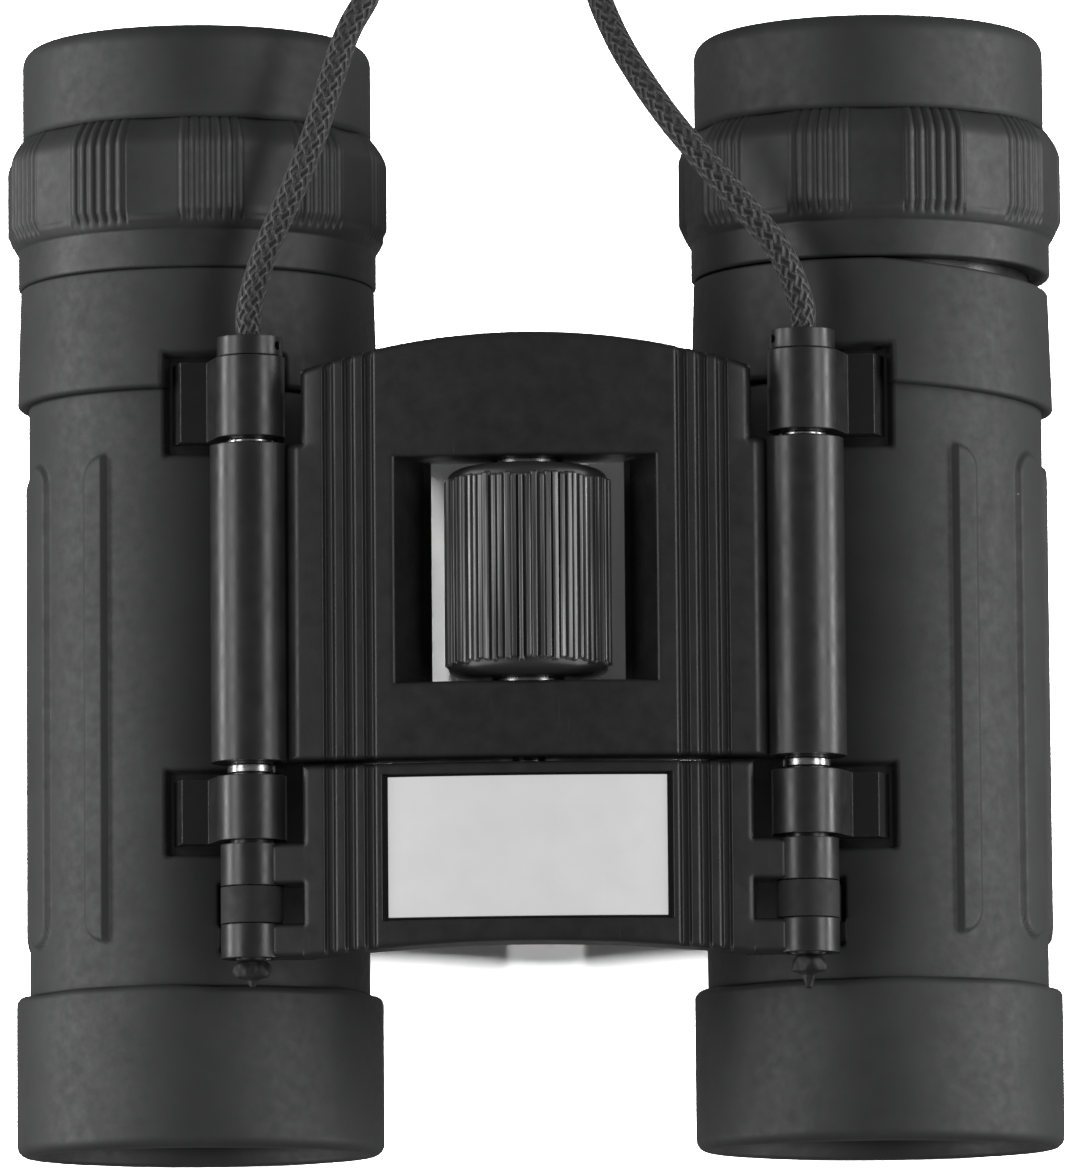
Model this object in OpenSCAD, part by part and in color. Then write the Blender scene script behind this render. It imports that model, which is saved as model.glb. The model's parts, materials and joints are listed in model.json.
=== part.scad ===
// Compact roof-prism binoculars with a hinge beside each barrel, lying on the barrels.
// X runs across the barrels, Y along the optical axes towards the eyepieces, Z up.
// The origin is on the resting surface, midway between the barrels and between the two ends.

/* [Overall] */
// Overall length from the objective face to the eyecup rim
total_l = 100; // [98:1:125]
// Distance between the two optical axes as the barrels stand
axis_spacing = 60.6; // [56:0.1:73]
// How far each hinge pin stands inside its optical axis, seen from above
hinge_inset = 5.95; // [5:0.05:7]
// Room between a hinge tube and the barrel that swings under it
swing_clear = 0.68; // [0.4:0.01:3]

/* [Barrels] */
// Outer radius of the rubber armour
armour_r = 15.2; // [14:0.1:19]
// Thickness of the rubber armour
armour_t = 1.1; // [0.8:0.1:1.6]
// Wall of the barrel housing
housing_wall = 1.3; // [1:0.1:1.6]
// Width of a raised grip rib
rib_w = 4.2; // [3:0.1:5]
// Height of a raised grip rib over the armour
rib_h = 0.5; // [0.3:0.1:0.6]
// Angle between neighbouring grip ribs
rib_pitch = 36; // [30:1:45]
// Step from the armour up to the objective cap
cap_step = 1.2; // [1:0.1:1.8]
// Length of the objective cap
cap_l = 14.2; // [12:0.1:15]
// Wall of the objective cap at its rim
mouth_wall = 1.9; // [1.8:0.1:2.4]
// Step from the armour up to the collar's lower lip
collar_step = 1; // [0.8:0.1:1.4]
// Length of the collar
collar_l = 10.7; // [10:0.1:12]

/* [Eyepieces] */
// Step from the armour up to the knurled ring
ring_step = 2; // [1.8:0.1:2.6]
// Length of the knurled ring
ring_l = 10.2; // [9:0.1:12]
// Step from the armour up to the skirt under the knurled ring
skirt_step = 0.9; // [0.7:0.1:1.4]
// Length of the skirt
skirt_l = 3.3; // [3:0.1:4]
// Step from the armour up to the eyecup
eyecup_step = 0.5; // [0.2:0.1:0.8]
// Length of the eyecup behind the ring
eyecup_l = 8.5; // [8:0.1:11]
// Outer radius of the eyepiece tube
eye_tube_r = 11.5; // [10.5:0.1:11.5]
// Radius of the eyepiece lenses
eye_lens_r = 9; // [8:0.1:9.5]

/* [Optics] */
// Radius of the objective lenses
objective_r = 10.5; // [9:0.1:10.8]
// Side of the square light path through the prisms
prism_a = 12; // [10:0.1:12]

/* [Hinges] */
// Outer radius of a hollow hinge pin
pin_r = 1.9; // [1.8:0.05:2.3]
// Radius of the hole through a hinge pin
pin_bore_r = 1.25; // [1.2:0.05:1.3]
// Outer radius of a long hinge tube
tube_r = 3.55; // [3.2:0.05:4.3]
// Outer radius of a barrel lug
lug_r = 3.1; // [2.9:0.05:3.2]
// Outer radius of the sliding knuckles
knuckle_r = 2.75; // [2.7:0.05:3.2]
// Outer radius of a strap cap
strap_cap_r = 2.9; // [2.6:0.05:2.95]

/* [Bridge] */
// Height of the crown over the hinge pins
crown_rise = 4.3; // [4:0.1:5]
// How far the crowned top has fallen at the sides of the bridge
crown_fall = 1.85; // [1.5:0.05:2.2]
// Room between the side of the bridge and a hinge axis
lug_room = 4.6; // [4.4:0.1:5]
// Radius of the arched rear edge, seen from above
rear_arc_r = 67; // [60:1:90]
// Radius of the hollow front edge, seen from above
front_arc_r = 167; // [150:1:200]
// Half width of the wheel window at the top
window_half_w = 11.4; // [10.5:0.1:12]
// Depth of a decorative groove
groove_d = 0.5; // [0.3:0.1:0.7]

/* [Focus] */
// Outer radius of the focus wheel
wheel_r = 7.4; // [6.5:0.1:8.9]
// Length of the focus wheel
wheel_l = 18.8; // [17:0.1:19]
// Radius of the focus spindle
spindle_r = 1.5; // [1.3:0.05:1.8]
// Number of flutes around the focus wheel
flutes = 36; // [24:1:44]

/* [Cord] */
// Diameter of the neck cord
cord_d = 2.3; // [2:0.1:2.4]

/* [Hidden] */
$fn = 96;
fine = 960;           // facets of the very large radii
eps = 0.01;
run_fit = 0.05;       // radial clearance of a pin or shaft that turns or slides
slide_fit = 0.1;      // radial clearance of a tube that slides in a bore
face_gap = 0.1;       // gap between faces that pass each other
far = 30;             // half size of a block that cuts right across a barrel
above = 99;           // a height over everything
turn_gap = 0.15;      // gap under the turning ring

// Barrel radii
housing_r = armour_r - armour_t;
bore_r = housing_r - housing_wall;
cap_r = armour_r + cap_step;
mouth_r = cap_r - mouth_wall;
collar_r = armour_r + collar_step;
ring_r = armour_r + ring_step;
skirt_r = armour_r + skirt_step;
eyecup_r = armour_r + eyecup_step;
widest_r = max(ring_r, cap_r);
barrel_x = axis_spacing / 2;
barrel_z = widest_r;

// Hinge pins and the arm from pin to optical axis
hinge_x = barrel_x - hinge_inset;
arm_l = armour_r + tube_r + swing_clear;
hinge_z = barrel_z + sqrt(arm_l * arm_l - hinge_inset * hinge_inset);
lean = asin(hinge_inset / arm_l);

// Stations along Y
front_y = -total_l / 2;
rear_y = total_l / 2;
cap_y = front_y + cap_l;
ring_top_y = rear_y - eyecup_l;
ring_low_y = ring_top_y - ring_l;
collar_top_y = ring_low_y - skirt_l;
collar_low_y = collar_top_y - collar_l;
rib_ends = [cap_y + 4.2 + rib_w / 2, collar_low_y - 5.8 - rib_w / 2];
housing_front_y = front_y + 2.5;
housing_rear_y = ring_low_y + 2.7;
tube_y = [-16.5, 11.5];
upper_lug_y = [12.2, 19.3];
lower_lug_y = [-23.4, -17.75];
knuckle_y = [[-27.4, -23.75], [-33.75, -30.8]];
arm_y = [-30.7, -27.5];
pin_y = [-33.6, 20.2];
strap_cap_y = [19.4, 21.1];
travel = [-0.25, 1.75];   // travel of the front bridge, rearward and forward

// Armour, collar, cap, ring and eyecup
ribs = 8;
first_rib = 29;
lip_l = 2.4;              // the collar's lip over the armour
lip_tilt = 4;
top_tilt = 5;
collar_taper = 0.3;
mouth_slope = 1.3;
mouth_round = 0.5;
cap_round = 1.1;
cap_back_round = 0.8;
ring_bevel = 1.4;
ring_bore_r = eye_tube_r + 0.7;
cup_bore_r = eye_tube_r + 0.8;
cup_round = 1.7;
cup_lip_round = 0.6;

// Barrel lugs, in the barrel's own frame with the hinge straight up
bracket_reach = 5.4;
bracket_top = armour_r + 0.5;
bracket_rise = 0.5;       // the bracket's face stands level while the barrel leans
lug_root = bore_r + 0.1;
notch_gap = 0.9;
arm_t = 3;

// Bridge
bridge_half_w = hinge_x - lug_room;
crown_r = (bridge_half_w * bridge_half_w + crown_fall * crown_fall) / (2 * crown_fall);
crown_z = hinge_z + crown_rise;
plate_z = hinge_z - 1.8;
plate_t = 1.2;
wall_t = 1.2;
rear_apex_y = 20.9;
front_apex_y = -32.7;
split_y = -16.8;
split_gap = 0.4;
wing_in = 2.6;            // the cover stops this far inside a pin's axis
wing_z = hinge_z + 0.9;
pockets_y = [[-15.4, -13.4], [-10.6, 10.6], [13.4, 15.2]];
washer_r = 2.6;
strap_hole_r = 0.4;
strap_hole_turn = 62;
screw_l = 3.4;
window_half_l = 9.9;
window_low_half_w = max(8.5, wheel_r + 1.1);
rear_lip_y = 16.4;
rear_lip_z = plate_z + 0.8;
groove_x = [bridge_half_w - 6, bridge_half_w - 4.25, bridge_half_w - 2.45];
groove_w = 0.8;
recess_half_w = 12.7;
recess_y = [-30.8, -18];
recess_d = 0.6;
label_gap = 0.5;
label_t = 0.45;

// Focus
wheel_z = hinge_z - 1.1;
block_half_w = 4.5;
block_z = [wheel_z - 3.1, wheel_z + 2.9];
rear_block_y = [10.1, 15];
front_block_y = [-15, -10.1];
bush_r = spindle_r + 0.9;
nut_y = [-25, -18];
nut_r = spindle_r + 1.2;
spindle_y = [-27.5, 14.2];
washer_t = 0.5;
flute_r = 0.35;
wheel_chamfer = 1;
thrust_r = 3.2;
grub_r = 0.8;
grub_inset = 5;
shaft_room = 0.3;
screw_r = 0.9;
screw_head_r = 1.6;
screw_head_h = 0.9;

// Objective cell
cell_y = [front_y + 8.5, -26.6];
lens_seat_y = front_y + 15;
objective_edge = 4.2;
lens_ledge = 1.2;
retainer_t = 0.9;
flint_t = 1.6;
flint_hollow = 0.6;
flint_curve = 90;
crown_bulge = 1.2;
crown_curve = 45;

// Prisms
cage_y = [-19.5, 5.5];
prism_y = -15.5;
cage_plate = 2;
prism_gap = 0.08;
cage_half_w = bore_r - 4.6;
clip_y = [prism_y + 5, prism_y + 10];
clip_t = 0.5;

// Eyepiece
eye_tube_y = [ring_top_y - 30.5, ring_top_y + 2];
tube_lip = 0.6;
eye_ledge = 0.8;
stop_r = eye_lens_r - 3;
field_lens_y = [eye_tube_y[0] + 6, eye_tube_y[0] + 11];
field_curve = 22;
eye_lens_y = [eye_tube_y[1] - 7, eye_tube_y[1] - 1.2];
eye_curve = 24;
bush_y = [collar_top_y - 11, collar_top_y - 3];
flange_y = [ring_top_y - 6.5, ring_top_y - 4];
boss_r = eyecup_r - 1.5;
boss_l = 2.1;
fields = 10;              // knurled fields round the ring
field_turn = [-8.3, -15.2];   // turn of the first knurled field from the top, left and right
hollow_r = 8;             // radius of the smooth hollow between two knurled fields
hollow_d = 0.3;

// Neck cord: points of each free run, and the wound coil
left_run = [[-hinge_x, strap_cap_y[1], hinge_z], [-hinge_x, 24, hinge_z], [-22.8, 29, hinge_z + 0.5],
    [-20.5, 34, hinge_z + 0.8], [-18.5, 39, hinge_z + 0.7], [-17, 44, hinge_z + 0.2],
    [-15.5, 48.5, hinge_z - 0.3], [-13.5, 52.5, hinge_z - 1.1], [-13, 57.5, 32], [-14, 62, 27],
    [-15.5, 65.5, 20.5], [-16.5, 69, 14], [-17, 73.5, 8.6], [-17, 79, 6.2]];
right_run = [[hinge_x, strap_cap_y[1], hinge_z], [hinge_x, 23.5, hinge_z], [22.6, 28, hinge_z + 0.6],
    [19.5, 32, hinge_z + 0.8], [16.2, 36, hinge_z + 0.7], [13, 40, hinge_z + 0.1],
    [10.4, 44, hinge_z - 1.6], [8, 48.5, hinge_z - 3.9], [6.2, 53.5, hinge_z - 6.1],
    [5.8, 58.5, 26], [6.6, 63, 20.5], [8, 67, 14], [8.9, 72, 8.8], [9, 79, 6.2]];
coil_at = [-4, 80, 0.6];
coil_mid_r = 13;
coil_h = 3 * cord_d;
tie_w = 5;
tie_t = 0.6;
tie_slack = 0.4;
knot_y = [pin_y[0] - 2.4, pin_y[0] - 0.3];
knot_r = 1.6;
tail_r = 0.45;

// ---- Helpers -------------------------------------------------------------

// A cylinder along Y, from y[0] to y[1]
module bar(r, y) translate([0, y[0], 0]) rotate([-90, 0, 0]) cylinder(r = r, h = y[1] - y[0]);

// A tube along Y
module pipe(r_out, r_in, y) difference() {
    bar(r_out, y);
    bar(r_in, [y[0] - 1, y[1] + 1]);
}

// A profile of [radius, y] points turned about the Y axis
module turned(points) rotate([-90, 0, 0]) rotate_extrude() polygon(points);

// A flat shape in X and Z, drawn out along Y
module along_y(y) translate([0, y[1], 0]) rotate([90, 0, 0]) linear_extrude(y[1] - y[0]) children();

// A box given by its ranges
module block(x, y, z) translate([x[0], y[0], z[0]]) cube([x[1] - x[0], y[1] - y[0], z[1] - z[0]]);

// Places right-hand geometry on either side: 1 is +X, -1 is -X
module on_side(side) if (side > 0) children(); else mirror([1, 0, 0]) children();

// The frame of a barrel: optical axis on Y, hinge pin straight up, +X away from the other barrel
module at_barrel(side) on_side(side) translate([barrel_x, 0, barrel_z]) rotate([0, -lean, 0]) children();

// The axis of a hinge pin
module at_hinge(side) on_side(side) translate([hinge_x, 0, hinge_z]) children();

// Points of a rounded corner between angles a0 and a1 about c
function arc(c, r, a0, a1, n = 6) = [for (i = [0:n]) let (a = a0 + (a1 - a0) * i / n)
    c + r * [cos(a), sin(a)]];

// ---- Barrel --------------------------------------------------------------

module lug(y) {
    difference() {
        union() {
            along_y(y) polygon([[-lug_r, arm_l], [lug_r, arm_l], [lug_r, bracket_top + bracket_rise],
                [bracket_reach, bracket_top], [bracket_reach, lug_root], [-lug_r, lug_root]]);
            translate([0, 0, arm_l]) bar(lug_r, y);
        }
        translate([0, 0, arm_l]) bar(pin_r + run_fit, [y[0] - 1, y[1] + 1]);
    }
}

// Slot that the focusing arm moves in
module arm_slot() block([-arm_t / 2 - 0.4, arm_t / 2 + 0.4],
    [arm_y[0] - travel[1] - 0.3, arm_y[1] - travel[0] + 0.3], [0, arm_l]);

// Room around a lug in the armour and the collar
module lug_notch(y) block([-lug_r - notch_gap, bracket_reach + notch_gap],
    [y[0] - notch_gap, y[1] + notch_gap], [0, arm_l]);

module housing(side) color("DimGray") at_barrel(side) {
    difference() {
        pipe(housing_r, bore_r, [housing_front_y, housing_rear_y]);
        arm_slot();
    }
    pipe(bore_r, eye_tube_r + slide_fit, bush_y);
    lug(upper_lug_y);
    lug(lower_lug_y);
}

// A grip rib with round ends
module grip_rib(angle) rotate([0, angle, 0]) intersection() {
    pipe(armour_r + rib_h, armour_r - 0.2, [cap_y, collar_low_y]);
    linear_extrude(armour_r + 2) {
        translate([-rib_w / 2, rib_ends[0]]) square([rib_w, rib_ends[1] - rib_ends[0]]);
        for (y = rib_ends) translate([0, y]) circle(rib_w / 2);
    }
}

module armour(side) color("#2b2c2d") at_barrel(side) difference() {
    union() {
        pipe(armour_r, housing_r, [cap_y, collar_low_y]);
        for (i = [0:ribs - 1]) grip_rib(first_rib + lean + i * rib_pitch);
    }
    bar(housing_r, [cap_y - 1, collar_low_y + 1]);
    lug_notch(upper_lug_y);
    lug_notch(lower_lug_y);
    arm_slot();
}

// A block right across a barrel
module across(y) block([-far, far], y, [-far, far]);

// The right collar's lip runs askew, and its upper edge falls away beside the turning ring
module collar(side) color("#2b2c2d") at_barrel(side) difference() {
    turned([[housing_r, collar_low_y - lip_l], [collar_r, collar_low_y - lip_l],
        [collar_r - collar_taper, collar_top_y], [housing_r, collar_top_y]]);
    bar(armour_r, [collar_low_y - 2 * lip_l, collar_low_y]);
    if (side > 0) {
        translate([0, collar_low_y - 0.3, 0]) rotate([0, 0, -lip_tilt]) across([-far, 0]);
        translate([1, collar_top_y, 0]) rotate([0, 0, -top_tilt]) across([0, far]);
    } else across([collar_low_y - far, collar_low_y]);
    lug_notch(upper_lug_y);
}

module objective_cap(side) color("#252627") at_barrel(side) turned(concat(
    [[housing_r, housing_front_y], [mouth_r - mouth_slope, housing_front_y]],
    arc([mouth_r + mouth_round, front_y + mouth_round], mouth_round, 180, 270, 4),
    arc([cap_r - cap_round, front_y + cap_round], cap_round, -90, 0),
    arc([cap_r - cap_back_round, cap_y - cap_back_round], cap_back_round, 0, 90, 4),
    [[housing_r, cap_y]]));

// ---- Objective cell, moved by the focusing arm ----------------------------

module objective_cell(side) color("#303030") at_barrel(side) difference() {
    union() {
        bar(bore_r - slide_fit, cell_y);
        block([-arm_t / 2, arm_t / 2], arm_y, [bore_r - 2, arm_l]);
        translate([0, 0, arm_l]) bar(knuckle_r, arm_y);
    }
    bar(objective_r, [cell_y[0] - 1, lens_seat_y]);
    bar(objective_r - lens_ledge, [cell_y[0], cell_y[1] + 1]);
    translate([0, 0, arm_l]) bar(pin_r + run_fit, [arm_y[0] - 1, arm_y[1] + 1]);
}

// A cemented pair: a thick convex element in front of a thin concave one
module objective_lens(side) color("#5a6b8c") at_barrel(side) {
    cut_y = lens_seat_y - flint_t;
    intersection() {
        bar(objective_r, [lens_seat_y - 8, cut_y]);
        translate([0, lens_seat_y - objective_edge - crown_bulge + crown_curve, 0]) sphere(crown_curve);
    }
    difference() {
        bar(objective_r, [cut_y, lens_seat_y]);
        translate([0, lens_seat_y - flint_hollow + flint_curve, 0]) sphere(flint_curve);
    }
}

module lens_retainer(side) color("#202020") at_barrel(side)
    pipe(objective_r, objective_r - retainer_t, [cell_y[0], lens_seat_y - objective_edge - 0.2]);

// ---- Prisms ---------------------------------------------------------------

module prism_cage(side) color("SlateGray") at_barrel(side) difference() {
    bar(bore_r, cage_y);
    block([-cage_half_w, cage_half_w], [cage_y[0] + cage_plate, cage_y[1] - cage_plate],
        [-bore_r - 1, bore_r + 1]);
    bar(prism_a / 2 + 0.3, [cage_y[0] - 1, cage_y[1] + 1]);
}

// A flat shape in Y and Z, in units of the light path, drawn out across X
module prism_body(points) translate([prism_a / 2, prism_y, 0]) rotate([90, 0, -90])
    mirror([1, 0, 0]) linear_extrude(prism_a) polygon(points * prism_a);

module half_penta_prism(side) color("LightSteelBlue") at_barrel(side)
    prism_body([[0, -0.5], [0, 0.5], [0.3, 0.75], [1.25, 0.75]]);

module roof_prism(side) color("LightSteelBlue") at_barrel(side) intersection() {
    prism_body([[prism_gap, -0.5], [1.25 + prism_gap, 0.75], [1.5, 0.5], [1.5, -0.5],
        [1.2, -0.75], [0.33, -0.75]]);
    along_y(cage_y) polygon(prism_a * [[-0.5, 0.75], [0.5, 0.75], [0.5, -0.35], [0, -0.75],
        [-0.5, -0.35]]);
}

module prism_clip(side) color("Silver") at_barrel(side)
    block([-cage_half_w, cage_half_w], clip_y, [0.75 * prism_a, 0.75 * prism_a + clip_t]);

// ---- Eyepiece -------------------------------------------------------------

module eyepiece_tube(side) color("#2a2a2a") at_barrel(side) difference() {
    union() {
        bar(eye_tube_r, eye_tube_y);
        bar(eye_tube_r + tube_lip, [flange_y[1] + face_gap, flange_y[1] + 2]);
    }
    bar(eye_lens_r, [eye_tube_y[0] - 1, eye_lens_y[1]]);
    bar(eye_lens_r - eye_ledge, [eye_tube_y[0], eye_tube_y[1] + 1]);
}

module field_stop(side) color("#181818") at_barrel(side)
    pipe(eye_lens_r, stop_r, [eye_tube_y[0] + 2.5, eye_tube_y[0] + 3.5]);

module field_lens(side) color("#7f93a8") at_barrel(side) intersection() {
    bar(eye_lens_r, field_lens_y);
    translate([0, field_lens_y[1] - 0.5 - field_curve, 0]) sphere(field_curve);
}

module lens_spacer(side) color("#222222") at_barrel(side)
    pipe(eye_lens_r, eye_lens_r - eye_ledge, [eye_tube_y[0] + 9, eye_lens_y[0]]);

module eye_lens(side) color("#8b7fa8") at_barrel(side) intersection() {
    bar(eye_lens_r, eye_lens_y);
    translate([0, eye_lens_y[1] - 0.1 - eye_curve, 0]) sphere(eye_curve);
}

// A ring with a plain skirt, ten knurled fields and ten smooth hollows between them
module knurled_ring(side) {
    fit = side > 0 ? slide_fit : 0;
    low_y = collar_top_y + (side > 0 ? turn_gap : 0);
    first_hollow = lean + field_turn[side > 0 ? 1 : 0];
    difference() {
        turned([[housing_r + fit, low_y], [skirt_r, low_y], [skirt_r, ring_low_y],
            [ring_r, ring_low_y + 2], [ring_r, ring_top_y - ring_bevel],
            [ring_r - ring_bevel, ring_top_y], [boss_r, ring_top_y],
            [boss_r, ring_top_y + boss_l], [ring_bore_r, ring_top_y + boss_l],
            [ring_bore_r, flange_y[1]], [eye_tube_r + fit, flange_y[1]],
            [eye_tube_r + fit, flange_y[0]], [housing_r + fit, flange_y[0]]]);
        for (i = [0:fields - 1]) rotate([0, (i + 0.5) * 360 / fields + first_hollow, 0])
            translate([0, 0, ring_r + hollow_r - hollow_d])
                bar(hollow_r, [ring_low_y + 1.3, ring_top_y + 1]);
    }
}

module left_eyepiece_ring() color("#242526") at_barrel(-1) knurled_ring(-1);

module right_diopter_ring() color("#242526") at_barrel(1) knurled_ring(1);

module eyecup(side) color("#2f3031") at_barrel(side) turned(concat(
    [[cup_bore_r, ring_top_y + boss_l], [boss_r, ring_top_y + boss_l], [boss_r, ring_top_y]],
    [[eyecup_r, ring_top_y]],
    arc([eyecup_r - cup_round, rear_y - cup_round], cup_round, 0, 90),
    arc([eyecup_r - cup_round - 0.4, rear_y - cup_lip_round], cup_lip_round, 90, 180, 4),
    [[cup_bore_r, ring_top_y + boss_l + 2]]));

// ---- Bridge ---------------------------------------------------------------

// Everything under the crowned top surface, lowered by drop
module under_crown(drop) translate([0, 0, crown_z - crown_r]) bar(crown_r - drop, [-60, 60], $fn = fine);

// Both hinge tubes or knuckles, or the room for them
module both_hinges(r, y) for (side = [-1, 1]) at_hinge(side) bar(r, y);

// Upright cylinders that give the bridge its arched rear and hollow front edges
module rear_arc(inset) translate([0, rear_apex_y - rear_arc_r, -1])
    cylinder(r = rear_arc_r - inset, h = crown_z + 5, $fn = fine);
module front_arc() translate([0, front_apex_y - front_arc_r, -1])
    cylinder(r = front_arc_r, h = crown_z + 5, $fn = fine);

// The window for the wheel, with sloping sides
module window() along_y([-window_half_l, window_half_l]) polygon([
    [-window_half_w, crown_z - 0.4], [-window_half_w, crown_z + 2], [window_half_w, crown_z + 2],
    [window_half_w, crown_z - 0.4], [window_low_half_w, plate_z], [window_low_half_w, block_z[0] - 1],
    [-window_low_half_w, block_z[0] - 1], [-window_low_half_w, plate_z]]);

// Three grooves near each end of the bridge
module grooves(y) for (side = [-1, 1], x = groove_x) on_side(side) difference() {
    block([x - groove_w / 2, x + groove_w / 2], y, [plate_z, crown_z + 1]);
    under_crown(groove_d);
}

// The screws that hold a cover down, from below
screw_spots = [[-16.3, 12], [16.3, 12], [-16.3, -12], [16.3, -12]];
front_screw_spots = [[-16.3, -20.5], [16.3, -20.5], [-11, -29], [11, -29]];
module at_spots(spots) for (p = spots) translate([p[0], p[1], plate_z]) children();
module screw() {
    cylinder(r = screw_head_r, h = screw_head_h);
    cylinder(r = screw_r, h = screw_l);
}
module screw_holes(spots) at_spots(spots) {
    translate([0, 0, -1]) cylinder(r = screw_head_r, h = 1 + screw_head_h);
    cylinder(r = screw_r, h = screw_l);
}

// A bearing block around the spindle
module spindle_block(y) block([-block_half_w, block_half_w], y, block_z);

module bridge_frame() color("#3a3a3c") difference() {
    union() {
        intersection() {
            block([-bridge_half_w, bridge_half_w], [tube_y[0], rear_lip_y], [plate_z, plate_z + plate_t]);
            rear_arc(wall_t);
        }
        for (side = [-1, 1]) on_side(side)
            block([bridge_half_w - 1, hinge_x], tube_y, [plate_z, wing_z]);
        both_hinges(tube_r, tube_y);
        spindle_block(rear_block_y);
        spindle_block(front_block_y);
    }
    both_hinges(pin_r, [tube_y[0] - 1, tube_y[1] + 1]);
    window();
    translate([0, 0, wheel_z]) bar(spindle_r + run_fit, [9, rear_block_y[1] - 0.6]);
    translate([0, 0, wheel_z]) bar(bush_r, [tube_y[0] - 1, -9]);
    screw_holes(screw_spots);
}

module rear_bridge_cover() color("#1d1d1f") difference() {
    intersection() {
        under_crown(0);
        rear_arc(0);
        union() {
            block([-bridge_half_w, bridge_half_w], [split_y + split_gap / 2, 22],
                [plate_z + plate_t, above]);
            for (side = [-1, 1]) on_side(side)
                block([bridge_half_w - eps, hinge_x - wing_in], tube_y, [wing_z, above]);
        }
    }
    for (side = [-1, 1]) on_side(side) block([bridge_half_w - 1, hinge_x], tube_y,
        [plate_z, wing_z]);
    both_hinges(tube_r, tube_y);
    window();
    grooves([split_y, 22]);
    for (side = [-1, 1]) on_side(side) for (y = pockets_y)
        block([window_half_w + 1.6, bridge_half_w - 2.4], y, [plate_z, crown_z - 3.4]);
    block([-block_half_w, block_half_w], [split_y - 1, -window_half_l + 1], [plate_z, block_z[1]]);
    block([-block_half_w, block_half_w], [window_half_l - 1, rear_block_y[1]], [plate_z, block_z[1]]);
    screw_holes(screw_spots);
    block([-far, far], [rear_lip_y, far], [plate_z, rear_lip_z]);
}

module front_bridge_frame() color("#3a3a3c") difference() {
    union() {
        block([-bridge_half_w, bridge_half_w], [front_apex_y + wall_t, split_y - split_gap / 2],
            [plate_z, plate_z + plate_t]);
        for (side = [-1, 1], y = knuckle_y) on_side(side) intersection() {
            block([bridge_half_w - 1, hinge_x], y, [plate_z, wing_z]);
            translate([0, y[0] - 20, 0]) cube(99);
        }
        both_hinges(knuckle_r, knuckle_y[0]);
        both_hinges(knuckle_r, knuckle_y[1]);
        spindle_block(nut_y);
    }
    both_hinges(pin_r + run_fit, [-40, -20]);
    translate([0, 0, wheel_z]) bar(nut_r, [nut_y[0] - 1, nut_y[1] + 3]);
    translate([0, 0, wheel_z]) bar(spindle_r + shaft_room, [-34, -16]);
    screw_holes(front_screw_spots);
}

module front_bridge_cover() color("#1d1d1f") difference() {
    intersection() {
        under_crown(0);
        union() {
            block([-bridge_half_w, bridge_half_w], [-36, split_y - split_gap / 2],
                [plate_z + plate_t, above]);
            for (side = [-1, 1], y = knuckle_y) on_side(side)
                block([bridge_half_w - eps, hinge_x - knuckle_r + 1], y, [wing_z, above]);
        }
    }
    front_arc();
    for (side = [-1, 1], y = knuckle_y) on_side(side)
        block([bridge_half_w - 1, hinge_x], y, [plate_z, wing_z]);
    both_hinges(knuckle_r, [-40, -20]);
    grooves([-40, split_y]);
    difference() {
        block([-recess_half_w, recess_half_w], recess_y, [plate_z, crown_z + 1]);
        under_crown(recess_d);
    }
    block([-block_half_w, block_half_w], nut_y, [plate_z, block_z[1]]);
    block([-block_half_w, block_half_w], [nut_y[1] - 1, -16],
        [plate_z, wheel_z + spindle_r + shaft_room]);
    translate([0, 0, wheel_z]) bar(spindle_r + shaft_room, [-30, -16]);
    screw_holes(front_screw_spots);
}

module label_plate() color("#c9cbcd") difference() {
    intersection() {
        block([-recess_half_w + label_gap, recess_half_w - label_gap],
            [recess_y[0] + label_gap / 2, recess_y[1] - label_gap / 2], [plate_z, crown_z]);
        under_crown(recess_d - label_t);
    }
    under_crown(recess_d);
}

module hinge_pin(side) color("Silver") at_hinge(side) pipe(pin_r, pin_bore_r, pin_y);

module strap_cap(side) color("#47484a") at_hinge(side) difference() {
    bar(strap_cap_r, strap_cap_y);
    bar(pin_r, [strap_cap_y[0] - 1, pin_y[1]]);
    bar(cord_d / 2 + run_fit, [strap_cap_y[0], strap_cap_y[1] + 1]);
    translate([0, (strap_cap_y[0] + strap_cap_y[1]) / 2, 0]) rotate([0, -strap_hole_turn, 0])
        translate([0, 0, pin_r + 0.2]) cylinder(r = strap_hole_r, h = 3);
}

// A thin washer behind each long tube and a thicker one in front of it
module hinge_washers() color("Gainsboro") for (side = [-1, 1]) at_hinge(side) {
    pipe(washer_r, pin_r, [tube_y[1] + 0.15, tube_y[1] + 0.55]);
    pipe(washer_r, pin_r, [tube_y[0] - 1, tube_y[0] - 0.2]);
}

module bridge_screws() color("Silver") at_spots(screw_spots) screw();

module front_bridge_screws() color("Silver") at_spots(front_screw_spots) screw();

// ---- Focus ----------------------------------------------------------------

module spindle_bush() color("DarkGoldenrod") translate([0, 0, wheel_z])
    pipe(bush_r, spindle_r + run_fit, front_block_y);

module focus_wheel() color("#4a4b4d") translate([0, 0, wheel_z]) difference() {
    half_l = wheel_l / 2;
    turned([[spindle_r, -half_l], [wheel_r - wheel_chamfer, -half_l],
        [wheel_r, -half_l + wheel_chamfer], [wheel_r, half_l - wheel_chamfer],
        [wheel_r - wheel_chamfer, half_l], [spindle_r, half_l]]);
    for (i = [0:flutes - 1]) rotate([0, i * 360 / flutes, 0]) translate([0, 0, wheel_r + 0.1])
        bar(flute_r, [-half_l - 1, half_l + 1]);
    rotate([0, 180, 0]) translate([0, half_l - grub_inset, 0]) cylinder(r = grub_r, h = wheel_r + 1);
}

module focus_spindle() color("Silver") translate([0, 0, wheel_z]) bar(spindle_r, spindle_y);

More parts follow.
